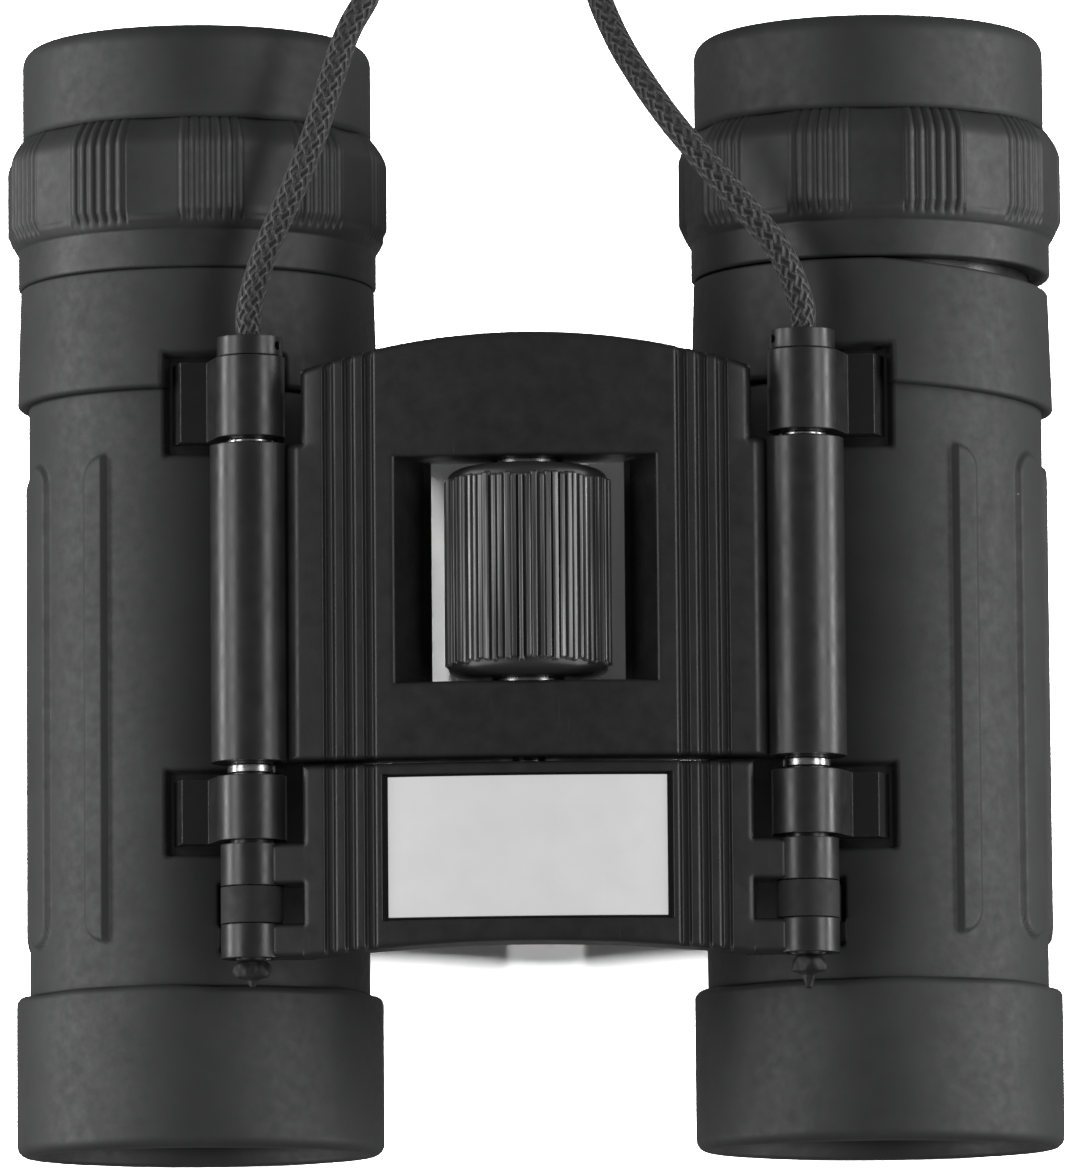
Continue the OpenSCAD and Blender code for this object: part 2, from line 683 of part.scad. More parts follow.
module thrust_washers() color("Gainsboro") translate([0, 0, wheel_z]) {
    pipe(thrust_r, spindle_r, [wheel_l / 2, wheel_l / 2 + washer_t]);
    pipe(thrust_r, spindle_r, [-wheel_l / 2 - washer_t, -wheel_l / 2]);
}

module wheel_grub_screw() color("DimGray") translate([0, wheel_l / 2 - grub_inset, wheel_z])
    mirror([0, 0, 1]) translate([0, 0, spindle_r]) cylinder(r = grub_r, h = 3);

module focus_nut() color("DarkGoldenrod") translate([0, 0, wheel_z])
    pipe(nut_r, spindle_r + run_fit, nut_y);

// ---- Neck cord ------------------------------------------------------------

// The cord in a hollow pin, with the small knot that stops it at the front
module cord_end(side) color("#151515") at_hinge(side) {
    bar(cord_d / 2, [pin_y[0] - 0.4, strap_cap_y[1]]);
    turned([[0, knot_y[0]], [knot_r / 2, knot_y[0]], [knot_r, knot_y[0] + 0.7],
        [knot_r, knot_y[1] - 0.7], [knot_r / 2, knot_y[1]], [0, knot_y[1]]]);
    bar(tail_r, [knot_y[0] - 0.9, knot_y[0] + 0.4]);
}

sides = 8;
function unit(v) = v / norm(v);

// A point on a smooth curve through p, between points i and i + 1
function smooth(p, i, t) = let (n = len(p) - 1, a = p[max(i - 1, 0)], b = p[i], c = p[i + 1],
    d = p[min(i + 2, n)])
    0.5 * (2 * b + (c - a) * t + (2 * a - 5 * b + 4 * c - d) * t * t
        + (3 * b - a - 3 * c + d) * t * t * t);
function curve(p) = [for (i = [0:len(p) - 2], t = [0, 0.5]) smooth(p, i, t), p[len(p) - 1]];
function heading(q, i) = i == 0 ? [0, 1, 0] : i == len(q) - 1 ? [0, 1, 0] : unit(q[i + 1] - q[i - 1]);
function ring_at(q, i) = let (h = heading(q, i), u = unit(cross(h, [1, 0, 0])), v = cross(u, h))
    [for (k = [0:sides - 1]) q[i] + cord_d / 2 * (cos(360 * k / sides) * u + sin(360 * k / sides) * v)];

module cord_run(points) {
    q = curve(points);
    n = len(q);
    polyhedron([for (i = [0:n - 1]) each ring_at(q, i)],
        concat([[for (k = [0:sides - 1]) k]], [[for (k = [0:sides - 1]) n * sides - 1 - k]],
            [for (i = [0:n - 2], k = [0:sides - 1]) [i * sides + k, (i + 1) * sides + k,
                (i + 1) * sides + (k + 1) % sides, i * sides + (k + 1) % sides]]));
}

module cord_left_run() color("#151515") cord_run(left_run);

module cord_right_run() color("#151515") cord_run(right_run);

module cord_coil() color("#151515") translate(coil_at) rotate_extrude()
    polygon([[coil_mid_r - coil_h / 2, 1], [coil_mid_r - coil_h / 2 + 1, 0],
        [coil_mid_r + coil_h / 2 - 1, 0], [coil_mid_r + coil_h / 2, 1],
        [coil_mid_r + coil_h / 2, coil_h - 1], [coil_mid_r + coil_h / 2 - 1, coil_h],
        [coil_mid_r - coil_h / 2 + 1, coil_h], [coil_mid_r - coil_h / 2, coil_h - 1]]);

// A band round the turns at the far side of the coil
module cord_tie() color("#303030") translate(coil_at + [0, coil_mid_r, coil_h / 2]) difference() {
    cube([tie_w, coil_h + 2 * (tie_t + tie_slack), coil_h + 2 * tie_t], center = true);
    cube([tie_w + 1, coil_h + 2 * tie_slack, coil_h], center = true);
}

// ---- Assembly -------------------------------------------------------------

bridge_frame();
rear_bridge_cover();
hinge_pin(-1);  // left_hinge_pin
hinge_pin(1);  // right_hinge_pin
strap_cap(-1);  // left_strap_cap
strap_cap(1);  // right_strap_cap
hinge_washers();
bridge_screws();
spindle_bush();
focus_wheel();
focus_spindle();
thrust_washers();
wheel_grub_screw();
front_bridge_frame();
front_bridge_cover();
label_plate();
focus_nut();
front_bridge_screws();
housing(-1);  // left_housing
armour(-1);  // left_armour
collar(-1);  // left_collar
objective_cap(-1);  // left_objective_cap
prism_cage(-1);  // left_prism_cage
half_penta_prism(-1);  // left_half_penta_prism
roof_prism(-1);  // left_roof_prism
prism_clip(-1);  // left_prism_clip
eyepiece_tube(-1);  // left_eyepiece_tube
field_stop(-1);  // left_field_stop
field_lens(-1);  // left_field_lens
lens_spacer(-1);  // left_lens_spacer
eye_lens(-1);  // left_eye_lens
left_eyepiece_ring();
eyecup(-1);  // left_eyecup
objective_cell(-1);  // left_objective_cell
objective_lens(-1);  // left_objective_lens
lens_retainer(-1);  // left_lens_retainer
housing(1);  // right_housing
armour(1);  // right_armour
collar(1);  // right_collar
objective_cap(1);  // right_objective_cap
prism_cage(1);  // right_prism_cage
half_penta_prism(1);  // right_half_penta_prism
roof_prism(1);  // right_roof_prism
prism_clip(1);  // right_prism_clip
eyepiece_tube(1);  // right_eyepiece_tube
field_stop(1);  // right_field_stop
field_lens(1);  // right_field_lens
lens_spacer(1);  // right_lens_spacer
eye_lens(1);  // right_eye_lens
right_diopter_ring();
eyecup(1);  // right_eyecup
objective_cell(1);  // right_objective_cell
objective_lens(1);  // right_objective_lens
lens_retainer(1);  // right_lens_retainer
cord_end(-1);  // left_cord_end
cord_end(1);  // right_cord_end
cord_left_run();
cord_right_run();
cord_coil();
cord_tie();
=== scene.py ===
"""Looks of the folding binoculars: rubber barrels, knurled rings, enamelled bridge and braided cord."""
import json
import math
import random

import bmesh
import bpy
from mathutils import Matrix, Vector


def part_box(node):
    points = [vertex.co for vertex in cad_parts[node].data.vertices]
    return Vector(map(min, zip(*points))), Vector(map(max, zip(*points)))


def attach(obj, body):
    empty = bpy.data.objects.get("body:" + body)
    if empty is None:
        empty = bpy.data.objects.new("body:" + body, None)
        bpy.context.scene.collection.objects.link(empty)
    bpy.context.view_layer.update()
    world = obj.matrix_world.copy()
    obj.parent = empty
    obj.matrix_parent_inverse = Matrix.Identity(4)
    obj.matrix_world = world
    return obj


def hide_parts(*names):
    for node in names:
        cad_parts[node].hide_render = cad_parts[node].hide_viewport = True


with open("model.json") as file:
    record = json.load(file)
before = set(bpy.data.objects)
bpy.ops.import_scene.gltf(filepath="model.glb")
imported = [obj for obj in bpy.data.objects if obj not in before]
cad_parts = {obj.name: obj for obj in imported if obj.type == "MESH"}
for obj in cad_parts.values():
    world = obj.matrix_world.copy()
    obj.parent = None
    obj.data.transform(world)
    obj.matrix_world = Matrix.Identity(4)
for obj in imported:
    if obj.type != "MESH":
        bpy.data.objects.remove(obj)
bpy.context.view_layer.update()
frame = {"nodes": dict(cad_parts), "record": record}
scene = bpy.context.scene
MM = 0.001
NAMES = {-1: "left", 1: "right"}


def corners(node):
    """Lowest and highest corner of a CAD node, in millimetres."""
    low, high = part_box(node)
    return low / MM, high / MM


def centre(node):
    low, high = corners(node)
    return (low + high) / 2


# ---- Camera ------------------------------------------------------------------

VIEW_H = 105.5            # mm of the object that the picture's height spans
DISTANCE = 900            # mm
TILT = math.radians(6.6)  # from straight above towards the objectives
SWING = math.radians(2.3)
ROLL = math.radians(0.46)
AIM = Vector((0, 0.8, 17))
SENSOR = 36               # mm

back = Vector((math.sin(SWING), -math.sin(TILT) * math.cos(SWING), math.cos(TILT) * math.cos(SWING)))
level_up = (Vector((0, 1, 0)) - back * back.y).normalized()
level_right = level_up.cross(back)
right = level_right * math.cos(ROLL) - level_up * math.sin(ROLL)
up = level_right * math.sin(ROLL) + level_up * math.cos(ROLL)
place = Matrix((right, up, back)).transposed().to_4x4()
place.translation = (AIM + back * DISTANCE) * MM
camera = bpy.data.objects.new("camera", bpy.data.cameras.new("camera"))
camera.data.sensor_width = SENSOR
camera.data.lens = SENSOR * DISTANCE / VIEW_H
camera.data.clip_start = 0.01
camera.data.clip_end = 20
camera.matrix_world = place
scene.collection.objects.link(camera)
scene.camera = camera

# ---- Mesh helpers --------------------------------------------------------------

SAME_POINT = 1e-7         # metres


def add_mesh(name, points, faces, body, node, slot):
    """A new piece from points in millimetres, riding on a body, standing for a CAD node."""
    data = bpy.data.meshes.new(name)
    data.from_pydata([Vector(p) * MM for p in points], [], faces)
    piece = bpy.data.objects.new(name, data)
    scene.collection.objects.link(piece)
    work = bmesh.new()
    work.from_mesh(data)
    bmesh.ops.remove_doubles(work, verts=work.verts, dist=SAME_POINT)
    bmesh.ops.recalc_face_normals(work, faces=work.faces)
    work.to_mesh(data)
    work.free()
    data.polygons.foreach_set("use_smooth", [True] * len(data.polygons))
    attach(piece, body)
    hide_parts(node)
    data.materials.append(materials[slot])
    return piece


def step(value, edge, width):
    """0 below the edge, 1 above it, smooth over the width."""
    t = min(max((value - edge) / width + 0.5, 0), 1)
    return t * t * (3 - 2 * t)


def arc(x, y, radius, start, end, count=8):
    """Points of a rounded corner, angles in degrees."""
    turns = [math.radians(start + (end - start) * i / count) for i in range(count + 1)]
    return [(x + radius * math.cos(a), y + radius * math.sin(a)) for a in turns]


def lathe(name, profile, axis, body, node, slot, turns, shape=None, side=1):
    """A closed profile of (radius, y) turned about an axis along Y. The angle runs from the top outwards,
    and shape(angle, radius, y) may move a point."""
    points, faces = [], []
    for i in range(turns):
        a = 360 * i / turns
        a = a - 360 if a > 180 else a
        sine, cosine = math.sin(math.radians(a)), math.cos(math.radians(a))
        for r, y in profile:
            if shape:
                r, y = shape(a, r, y)
            points.append((axis[0] + side * r * sine, y, axis[1] + r * cosine))
    n = len(profile)
    for i in range(turns):
        k = (i + 1) % turns
        faces += [(i * n + j, i * n + (j + 1) % n, k * n + (j + 1) % n, k * n + j) for j in range(n)]
    return add_mesh(name, points, faces, body, node, slot)


# ---- Neck cord -------------------------------------------------------------------

CORD_D = 2.3
CURVE_CUTS = 6            # stretches between two points of a run
BRAID_GAP = 0.6           # mm between the rings of the cord's mesh
AROUND = 20               # points round the cord
HINGE = centre("right_hinge_pin")
HINGE_X, HINGE_Z = HINGE.x, HINGE.z
CORD_EXIT = corners("left_strap_cap")[1].y
left_run = [(-HINGE_X, CORD_EXIT, HINGE_Z), (-HINGE_X, 24, HINGE_Z), (-22.8, 29, HINGE_Z + 0.5),
            (-20.5, 34, HINGE_Z + 0.8), (-18.5, 39, HINGE_Z + 0.7), (-17, 44, HINGE_Z + 0.2),
            (-15.5, 48.5, HINGE_Z - 0.3), (-13.5, 52.5, HINGE_Z - 1.1), (-13, 57.5, 32), (-14, 62, 27),
            (-15.5, 65.5, 20.5), (-16.5, 69, 14), (-17, 73.5, 8.6), (-17, 79, 6.2)]
right_run = [(HINGE_X, CORD_EXIT, HINGE_Z), (HINGE_X, 23.5, HINGE_Z), (22.6, 28, HINGE_Z + 0.6),
             (19.5, 32, HINGE_Z + 0.8), (16.2, 36, HINGE_Z + 0.7), (13, 40, HINGE_Z + 0.1),
             (10.4, 44, HINGE_Z - 1.6), (8, 48.5, HINGE_Z - 3.9), (6.2, 53.5, HINGE_Z - 6.1),
             (5.8, 58.5, 26), (6.6, 63, 20.5), (8, 67, 14), (8.9, 72, 8.8), (9, 79, 6.2)]
COIL_AT = Vector((-4, 80, 0.6))
COIL_R = 13


def curve_through(run):
    """Points on a smooth curve through a run."""
    pts = [Vector(p) for p in run]
    out = []
    for i in range(len(pts) - 1):
        a, b, c, d = pts[max(i - 1, 0)], pts[i], pts[i + 1], pts[min(i + 2, len(pts) - 1)]
        for k in range(CURVE_CUTS):
            t = k / CURVE_CUTS
            out.append(0.5 * (2 * b + (c - a) * t + (2 * a - 5 * b + 4 * c - d) * t * t
                              + (3 * b - a - 3 * c + d) * t ** 3))
    return out + [pts[-1]]


def coil_path():
    """Eight and a half clockwise turns laid in three layers, from the left run's end to the right run's.
    A quarter turn at each end slopes to its run, and the last half of a turn climbs to the next."""
    layers = [(1, 2), (1, 1), (1, 0), (0, 0), (-1, 0), (-1, 1), (0, 1), (0, 2), (-1, 2)]
    slots = [(COIL_R + CORD_D * across, CORD_D * (0.5 + layer)) for across, layer in layers]
    ends = (COIL_R, CORD_D * 2.5)
    out = []
    turns, per_turn, quarter = len(slots) - 0.5, 48, 0.25
    for i in range(int(turns * per_turn) + 1):
        turned = i / per_turn
        k = int(turned)
        part = turned - k
        here = slots[k]
        if k == 0 and part < quarter:
            w = step(part, quarter / 2, 0.22)
            here = tuple(e + (h - e) * w for e, h in zip(ends, here))
        elif k == len(slots) - 1 and part > quarter:
            w = step(part, quarter * 1.5, 0.22)
            here = tuple(h + (e - h) * w for e, h in zip(ends, here))
        elif part > quarter * 2:
            w = step(part, quarter * 3, 0.4)
            here = tuple(h + (n - h) * w for h, n in zip(here, slots[k + 1]))
        a = math.pi * (1 - 2 * turned)
        out.append(COIL_AT + Vector((here[0] * math.cos(a), here[0] * math.sin(a), here[1])))
    return out


cord_path = curve_through(left_run) + coil_path()[1:] + curve_through(right_run)[::-1][1:]


def even(path, gap):
    """The path with points an even distance apart."""
    out, left = [path[0]], gap
    for a, b in zip(path, path[1:]):
        length = (b - a).length
        while length >= left:
            a = a + (b - a) * (left / length)
            length -= left
            out.append(a)
            left = gap
        left -= length
    return out + ([path[-1]] if (out[-1] - path[-1]).length > gap / 4 else [])


def tube(name, path, diameter, body):
    """A tube along a path, with a UV map of turns and millimetres."""
    points, faces, uvs = [], [], []
    heading = (path[1] - path[0]).normalized()
    u = heading.orthogonal().normalized()
    for i, p in enumerate(path):
        a, b = path[max(i - 1, 0)], path[min(i + 1, len(path) - 1)]
        heading = (b - a).normalized()
        u = (u - heading * u.dot(heading)).normalized()
        v = heading.cross(u)
        for k in range(AROUND):
            t = 2 * math.pi * k / AROUND
            points.append(p + (u * math.cos(t) + v * math.sin(t)) * diameter / 2)
    gap = (path[1] - path[0]).length
    for i in range(len(path) - 1):
        for k in range(AROUND):
            n = (k + 1) % AROUND
            faces.append((i * AROUND + k, i * AROUND + n, (i + 1) * AROUND + n, (i + 1) * AROUND + k))
            uvs += [(k / AROUND, i * gap), ((k + 1) / AROUND, i * gap),
                    ((k + 1) / AROUND, (i + 1) * gap), (k / AROUND, (i + 1) * gap)]
    data = bpy.data.meshes.new(name)
    data.from_pydata([p * MM for p in points], [], faces)
    layer = data.uv_layers.new(name="braid")
    layer.data.foreach_set("uv", [x for uv in uvs for x in uv])
    data.polygons.foreach_set("use_smooth", [True] * len(data.polygons))
    piece = bpy.data.objects.new(name, data)
    scene.collection.objects.link(piece)
    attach(piece, body)
    return piece


cord_points = even(cord_path, BRAID_GAP)
cord = tube("neck_cord", cord_points, CORD_D, "root")
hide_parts("cord_left_run", "cord_right_run", "cord_coil")

# ---- Materials -------------------------------------------------------------------


class Shader:
    """A principled material with object-space detail in millimetres."""

    def __init__(self, name, color, rough, metallic=0.0, specular=0.5):
        self.material = bpy.data.materials.new(name)
        self.material.use_nodes = True
        self.tree = self.material.node_tree
        self.tree.nodes.clear()
        self.output = self.node("ShaderNodeOutputMaterial")
        self.bsdf = self.node("ShaderNodeBsdfPrincipled")
        self.link(self.bsdf.outputs[0], self.output.inputs["Surface"])
        self.bsdf.inputs["Base Color"].default_value = (*color, 1)
        self.bsdf.inputs["Roughness"].default_value = rough
        self.bsdf.inputs["Metallic"].default_value = metallic
        self.bsdf.inputs["Specular IOR Level"].default_value = specular
        self.coords = self.node("ShaderNodeTexCoord").outputs["Object"]
        self.normal = None

    def node(self, kind, **values):
        made = self.tree.nodes.new(kind)
        for key, value in values.items():
            if key in made.inputs:
                made.inputs[key].default_value = value
            else:
                setattr(made, key, value)
        return made

    def link(self, out, into):
        self.tree.links.new(out, into)

    def noise(self, size, detail=3.0, stretch=(1, 1, 1)):
        """Noise with features of this size in millimetres."""
        scale = self.node("ShaderNodeMapping")
        scale.inputs["Scale"].default_value = [s / (size * MM) for s in stretch]
        self.link(self.coords, scale.inputs["Vector"])
        made = self.node("ShaderNodeTexNoise", Scale=1.0, Detail=detail, Roughness=0.55)
        self.link(scale.outputs[0], made.inputs["Vector"])
        return made.outputs["Fac"]

    def cells(self, size):
        """Scattered cells of this size in millimetres: distance to the nearest centre, and a colour."""
        scale = self.node("ShaderNodeMapping")
        scale.inputs["Scale"].default_value = [1 / (size * MM)] * 3
        self.link(self.coords, scale.inputs["Vector"])
        made = self.node("ShaderNodeTexVoronoi", Scale=1.0, feature="F1")
        self.link(scale.outputs[0], made.inputs["Vector"])
        return made.outputs["Distance"], made.outputs["Color"]

    def remap(self, value, low, high, to_low=0.0, to_high=1.0):
        made = self.node("ShaderNodeMapRange",
                         **{"From Min": low, "From Max": high, "To Min": to_low, "To Max": to_high})
        self.link(value, made.inputs["Value"])
        return made.outputs["Result"]

    def maths(self, operation, a, b=None):
        made = self.node("ShaderNodeMath", operation=operation)
        for socket, value in zip(made.inputs, (a, b)):
            if isinstance(value, (int, float)):
                socket.default_value = value
            elif value is not None:
                self.link(value, socket)
        return made.outputs[0]

    def blend(self, factor, a, b):
        """A colour between a and b."""
        made = self.node("ShaderNodeMix", data_type="RGBA")
        for socket, value in ((made.inputs[6], a), (made.inputs[7], b)):
            if isinstance(value, tuple):
                socket.default_value = (*value, 1)
            else:
                self.link(value, socket)
        self.link(factor, made.inputs[0])
        return made.outputs[2]

    def color(self, socket):
        self.link(socket, self.bsdf.inputs["Base Color"])

    def roughness(self, socket):
        self.link(socket, self.bsdf.inputs["Roughness"])

    def round_edges(self, radius):
        """Soft edges of this radius in millimetres, and a mask that is 1 on the edges."""
        bevel = self.node("ShaderNodeBevel", samples=6)
        bevel.inputs["Radius"].default_value = radius * MM
        self.normal = bevel.outputs[0]
        flat = self.node("ShaderNodeNewGeometry").outputs["Normal"]
        dot = self.node("ShaderNodeVectorMath", operation="DOT_PRODUCT")
        self.link(bevel.outputs[0], dot.inputs[0])
        self.link(flat, dot.inputs[1])
        return self.remap(dot.outputs["Value"], 0.97, 0.75)

    def bump(self, height, depth, strength=1.0):
        """Relief of this depth in millimetres."""
        made = self.node("ShaderNodeBump", Strength=strength, Distance=depth * MM)
        self.link(height, made.inputs["Height"])
        if self.normal is not None:
            self.link(self.normal, made.inputs["Normal"])
        self.normal = made.outputs[0]

    def done(self):
        if self.normal is not None:
            self.link(self.normal, self.bsdf.inputs["Normal"])
        return self.material


def tone(color, factor):
    return tuple(c * factor for c in color)


DUST = (0.32, 0.32, 0.31)
# Colour of the lighter edges on the enamel: partly worn paint, partly a painted highlight along the edges.
WORN_AND_HIGHLIT_ENAMEL = (0.16, 0.16, 0.165)
SCRATCHED_ENAMEL = (0.2, 0.2, 0.2)
# Colour of the streaks on the wheel's teeth: partly worn metal, partly a painted highlight.
WORN_AND_HIGHLIT_WHEEL = (0.64, 0.64, 0.64)
CORD_FLECK = (0.24, 0.24, 0.235)


def rubber(name, base, rough, grain=0.16, dust=True):
    """Matt moulded rubber: fine grain, faint cloudy patches, spots worn smoother and a few specks of dust."""
    s = Shader(name, base, rough, specular=0.42)
    s.round_edges(0.12)
    cloud = s.noise(7, 4)
    grey = s.blend(s.remap(cloud, 0.35, 0.68), tone(base, 0.86), tone(base, 1.14))
    if dust:
        near, pick = s.cells(5.5)
        split = s.node("ShaderNodeSeparateColor")
        s.link(pick, split.inputs[0])
        speck = s.maths("MULTIPLY", s.remap(near, 0.02, 0.012), s.remap(split.outputs[0], 0.72, 0.74))
        grey = s.blend(s.maths("MULTIPLY", speck, 0.5), grey, DUST)
    s.color(grey)
    s.roughness(s.remap(s.noise(1.1, 5), 0.3, 0.7, rough - 0.07, rough + 0.07))
    s.bump(s.noise(grain, 2), 0.012, 0.55)
    s.bump(s.noise(2.4, 3), 0.03, 0.25)
    return s.done()


def enamel(name, base, rough, wear_and_highlight):
    """Satin black enamel on a casting: orange peel, lighter edges that are partly worn paint and partly a
    painted highlight, and hairline scratches.
    """
    s = Shader(name, base, rough, specular=0.5)
    edges = s.round_edges(0.18)
    patches = s.noise(5, 4)
    grey = s.blend(s.remap(patches, 0.35, 0.7), tone(base, 0.85), tone(base, 1.2))
    # The edges are lightened: partly worn paint, partly a painted highlight along the edges.
    rubbed_and_highlit = s.maths("MULTIPLY", edges, s.remap(s.noise(0.7, 4), 0.35, 0.65))
    grey = s.blend(s.maths("MULTIPLY", rubbed_and_highlit, wear_and_highlight), grey, WORN_AND_HIGHLIT_ENAMEL)
    scratch = s.remap(s.noise(0.22, 2, stretch=(1, 0.03, 1)), 0.72, 0.8)
    grey = s.blend(s.maths("MULTIPLY", scratch, 0.12), grey, SCRATCHED_ENAMEL)
    s.color(grey)
    s.roughness(s.remap(s.noise(1.6, 4), 0.3, 0.7, rough - 0.06, rough + 0.08))
    s.bump(s.noise(0.35, 2), 0.012, 0.5)
    return s.done()


def turned_metal(name, base, rough):
    """Bright turned metal with a fine grain and a few duller patches."""
    s = Shader(name, base, rough, metallic=1.0)
    s.round_edges(0.08)
    s.color(s.blend(s.remap(s.noise(1.2, 4), 0.35, 0.7), tone(base, 0.7), base))
    s.roughness(s.remap(s.noise(0.5, 4), 0.3, 0.7, rough - 0.08, rough + 0.12))
    s.bump(s.noise(0.12, 2), 0.006, 0.6)
    return s.done()


def worn_and_highlit_knurl(name, base, rough, axis_z, inner, outer):
    """Dark anodised wheel with grey streaks along its teeth: partly worn to bare metal, partly a painted
    highlight on the tooth tops and their edges.
    The grey starts at the inner radius and is full at the outer one, in millimetres."""
    s = Shader(name, base, rough, metallic=0.4, specular=0.6)
    edges = s.round_edges(0.07)
    split = s.node("ShaderNodeSeparateXYZ")
    s.link(s.coords, split.inputs[0])
    high = s.maths("SUBTRACT", split.outputs[2], axis_z * MM)
    squares = s.maths("ADD", s.maths("POWER", split.outputs[0], 2.0), s.maths("MULTIPLY", high, high))
    radius = s.maths("SQRT", squares)
    on_teeth = s.remap(radius, inner * MM, outer * MM)
    # Grey streaks on the tooth tops, brightest at their edges: partly worn metal, partly a painted highlight.
    streak = s.remap(s.noise(0.42, 3, stretch=(1, 0.02, 1)), 0.4, 0.66)
    streak = s.maths("MULTIPLY", streak, on_teeth)
    rubbed_and_highlit = s.maths("MULTIPLY", s.remap(edges, 0, 1, 0.22, 1), streak)
    s.color(s.blend(rubbed_and_highlit, base, WORN_AND_HIGHLIT_WHEEL))
    s.roughness(s.remap(streak, 0, 1, rough + 0.1, rough - 0.08))
    s.bump(s.noise(0.3, 3, stretch=(1, 0.2, 1)), 0.012, 0.6)
    return s.done()


def glass(name, tint):
    """Coated glass: clear body, tinted reflection, a trace of dust."""
    s = Shader(name, (0.92, 0.95, 0.97), 0.02)
    s.bsdf.inputs["Transmission Weight"].default_value = 0.9
    s.bsdf.inputs["IOR"].default_value = 1.52
    s.bsdf.inputs["Coat Weight"].default_value = 0.6
    s.bsdf.inputs["Coat Roughness"].default_value = 0.03
    s.bsdf.inputs["Coat Tint"].default_value = (*tint, 1)
    s.color(s.blend(s.remap(s.noise(6, 3), 0.3, 0.7), (0.8, 0.84, 0.9), (0.95, 0.96, 0.98)))
    s.roughness(s.remap(s.noise(0.6, 5), 0.45, 0.75, 0.015, 0.12))
    return s.done()


def plain_grey(name, base, rough):
    """A printed blank plate: flat light grey, faint mottling and paper-fine grain."""
    s = Shader(name, base, rough, specular=0.3)
    s.round_edges(0.08)
    s.color(s.blend(s.remap(s.noise(3, 4), 0.3, 0.7), tone(base, 0.97), tone(base, 1.02)))
    s.roughness(s.remap(s.noise(0.4, 3), 0.3, 0.7, rough - 0.06, rough + 0.06))
    s.bump(s.noise(0.12, 2), 0.004, 0.4)
    return s.done()


def braid(name, base, strands, pitch):
    """Braided polyester: two sets of crossing yarns over and under each other, from the tube's UV map.
    The pitch is in millimetres."""
    s = Shader(name, base, 0.5, specular=0.4)
    s.bsdf.inputs["Sheen Weight"].default_value = 0.25
    s.bsdf.inputs["Sheen Roughness"].default_value = 0.4
    uv = s.node("ShaderNodeUVMap", uv_map="braid").outputs[0]
    split = s.node("ShaderNodeSeparateXYZ")
    s.link(uv, split.inputs[0])
    around = s.maths("MULTIPLY", split.outputs[0], strands / 2)
    along = s.maths("MULTIPLY", split.outputs[1], 1 / (2 * pitch))
    one, two = s.maths("ADD", around, along), s.maths("SUBTRACT", around, along)
    ridge_one = s.maths("ABSOLUTE", s.maths("SINE", s.maths("MULTIPLY", one, 2 * math.pi)))
    ridge_two = s.maths("ABSOLUTE", s.maths("SINE", s.maths("MULTIPLY", two, 2 * math.pi)))
    cross_one = s.maths("SINE", s.maths("MULTIPLY", s.maths("ADD", one, 0.25), 2 * math.pi))
    cross_two = s.maths("SINE", s.maths("MULTIPLY", s.maths("ADD", two, 0.25), 2 * math.pi))
    over = s.remap(s.maths("MULTIPLY", cross_one, cross_two), -0.25, 0.25)
    height = s.maths("ADD", s.maths("MULTIPLY", ridge_one, over),
                     s.maths("MULTIPLY", ridge_two, s.maths("SUBTRACT", 1.0, over)))
    fibre = s.noise(0.18, 3)
    # Painted shade and light: the colour darkens into the valleys between the yarns and lightens on their
    # crowns; light flecks sit on the highest crowns.
    grey = s.blend(s.remap(height, 0.35, 0.95), tone(base, 0.4), tone(base, 1.9))
    fleck = s.maths("MULTIPLY", s.remap(height, 0.8, 0.98), s.remap(fibre, 0.5, 0.7))
    s.color(s.blend(s.maths("MULTIPLY", fleck, 0.55), grey, CORD_FLECK))
    s.roughness(s.remap(height, 0, 1, 0.75, 0.42))
    s.bump(height, 0.16, 1.0)
    s.bump(fibre, 0.03, 0.6)
    return s.done()


RUBBER = (0.027, 0.0275, 0.028)
ENAMEL = (0.01, 0.01, 0.0105)
materials = {
    "armour_rubber": rubber("armour_rubber", RUBBER, 0.62),
    "collar_rubber": rubber("collar_rubber", RUBBER, 0.6),
    "cap_rubber": rubber("cap_rubber", tone(RUBBER, 0.98), 0.6),
    "eyecup_rubber": rubber("eyecup_rubber", tone(RUBBER, 1.02), 0.58),
    "ring_plastic": rubber("ring_plastic", tone(RUBBER, 0.9), 0.5, grain=0.2),
    "bridge_cover": enamel("bridge_cover", ENAMEL, 0.42, wear_and_highlight=0.25),
    "bridge_metal": enamel("bridge_metal", tone(ENAMEL, 1.2), 0.34, wear_and_highlight=0.45),
    "wheel_metal": worn_and_highlit_knurl("wheel_metal", (0.03, 0.03, 0.031), 0.38, centre("focus_wheel").z,
                              inner=7.0, outer=7.15),
    "bright_steel": turned_metal("bright_steel", (0.42, 0.42, 0.42), 0.24),
    "brass": turned_metal("brass", (0.6, 0.44, 0.2), 0.32),
    "label_grey": plain_grey("label_grey", (0.8, 0.8, 0.805), 0.55),
    "cord_braid": braid("cord_braid", (0.02, 0.02, 0.021), strands=8, pitch=1.35),
    "melted_cord": rubber("melted_cord", (0.006, 0.006, 0.006), 0.62, grain=0.3, dust=False),
    "tie_rubber": rubber("tie_rubber", (0.03, 0.03, 0.03), 0.6, dust=False),
    "inner_black": rubber("inner_black", (0.012, 0.012, 0.012), 0.7, dust=False),
    "prism_glass": glass("prism_glass", (0.9, 0.95, 1.0)),
    "lens_glass": glass("lens_glass", (0.55, 0.5, 1.0)),
}

slot_of = {row["node"]: row["material_slot"] for row in frame["record"]["subparts"]}
for name, node in frame["nodes"].items():
    node.data.materials.clear()
    node.data.materials.append(materials[slot_of[name]])

# The pins take the dark enamel: painted shade in the narrow gaps between the lugs, where they show.
for name in NAMES.values():
    frame["nodes"][f"{name}_hinge_pin"].data.materials[0] = materials["bridge_metal"]

cord.data.materials.append(materials["cord_braid"])

# ---- Barrels ---------------------------------------------------------------------

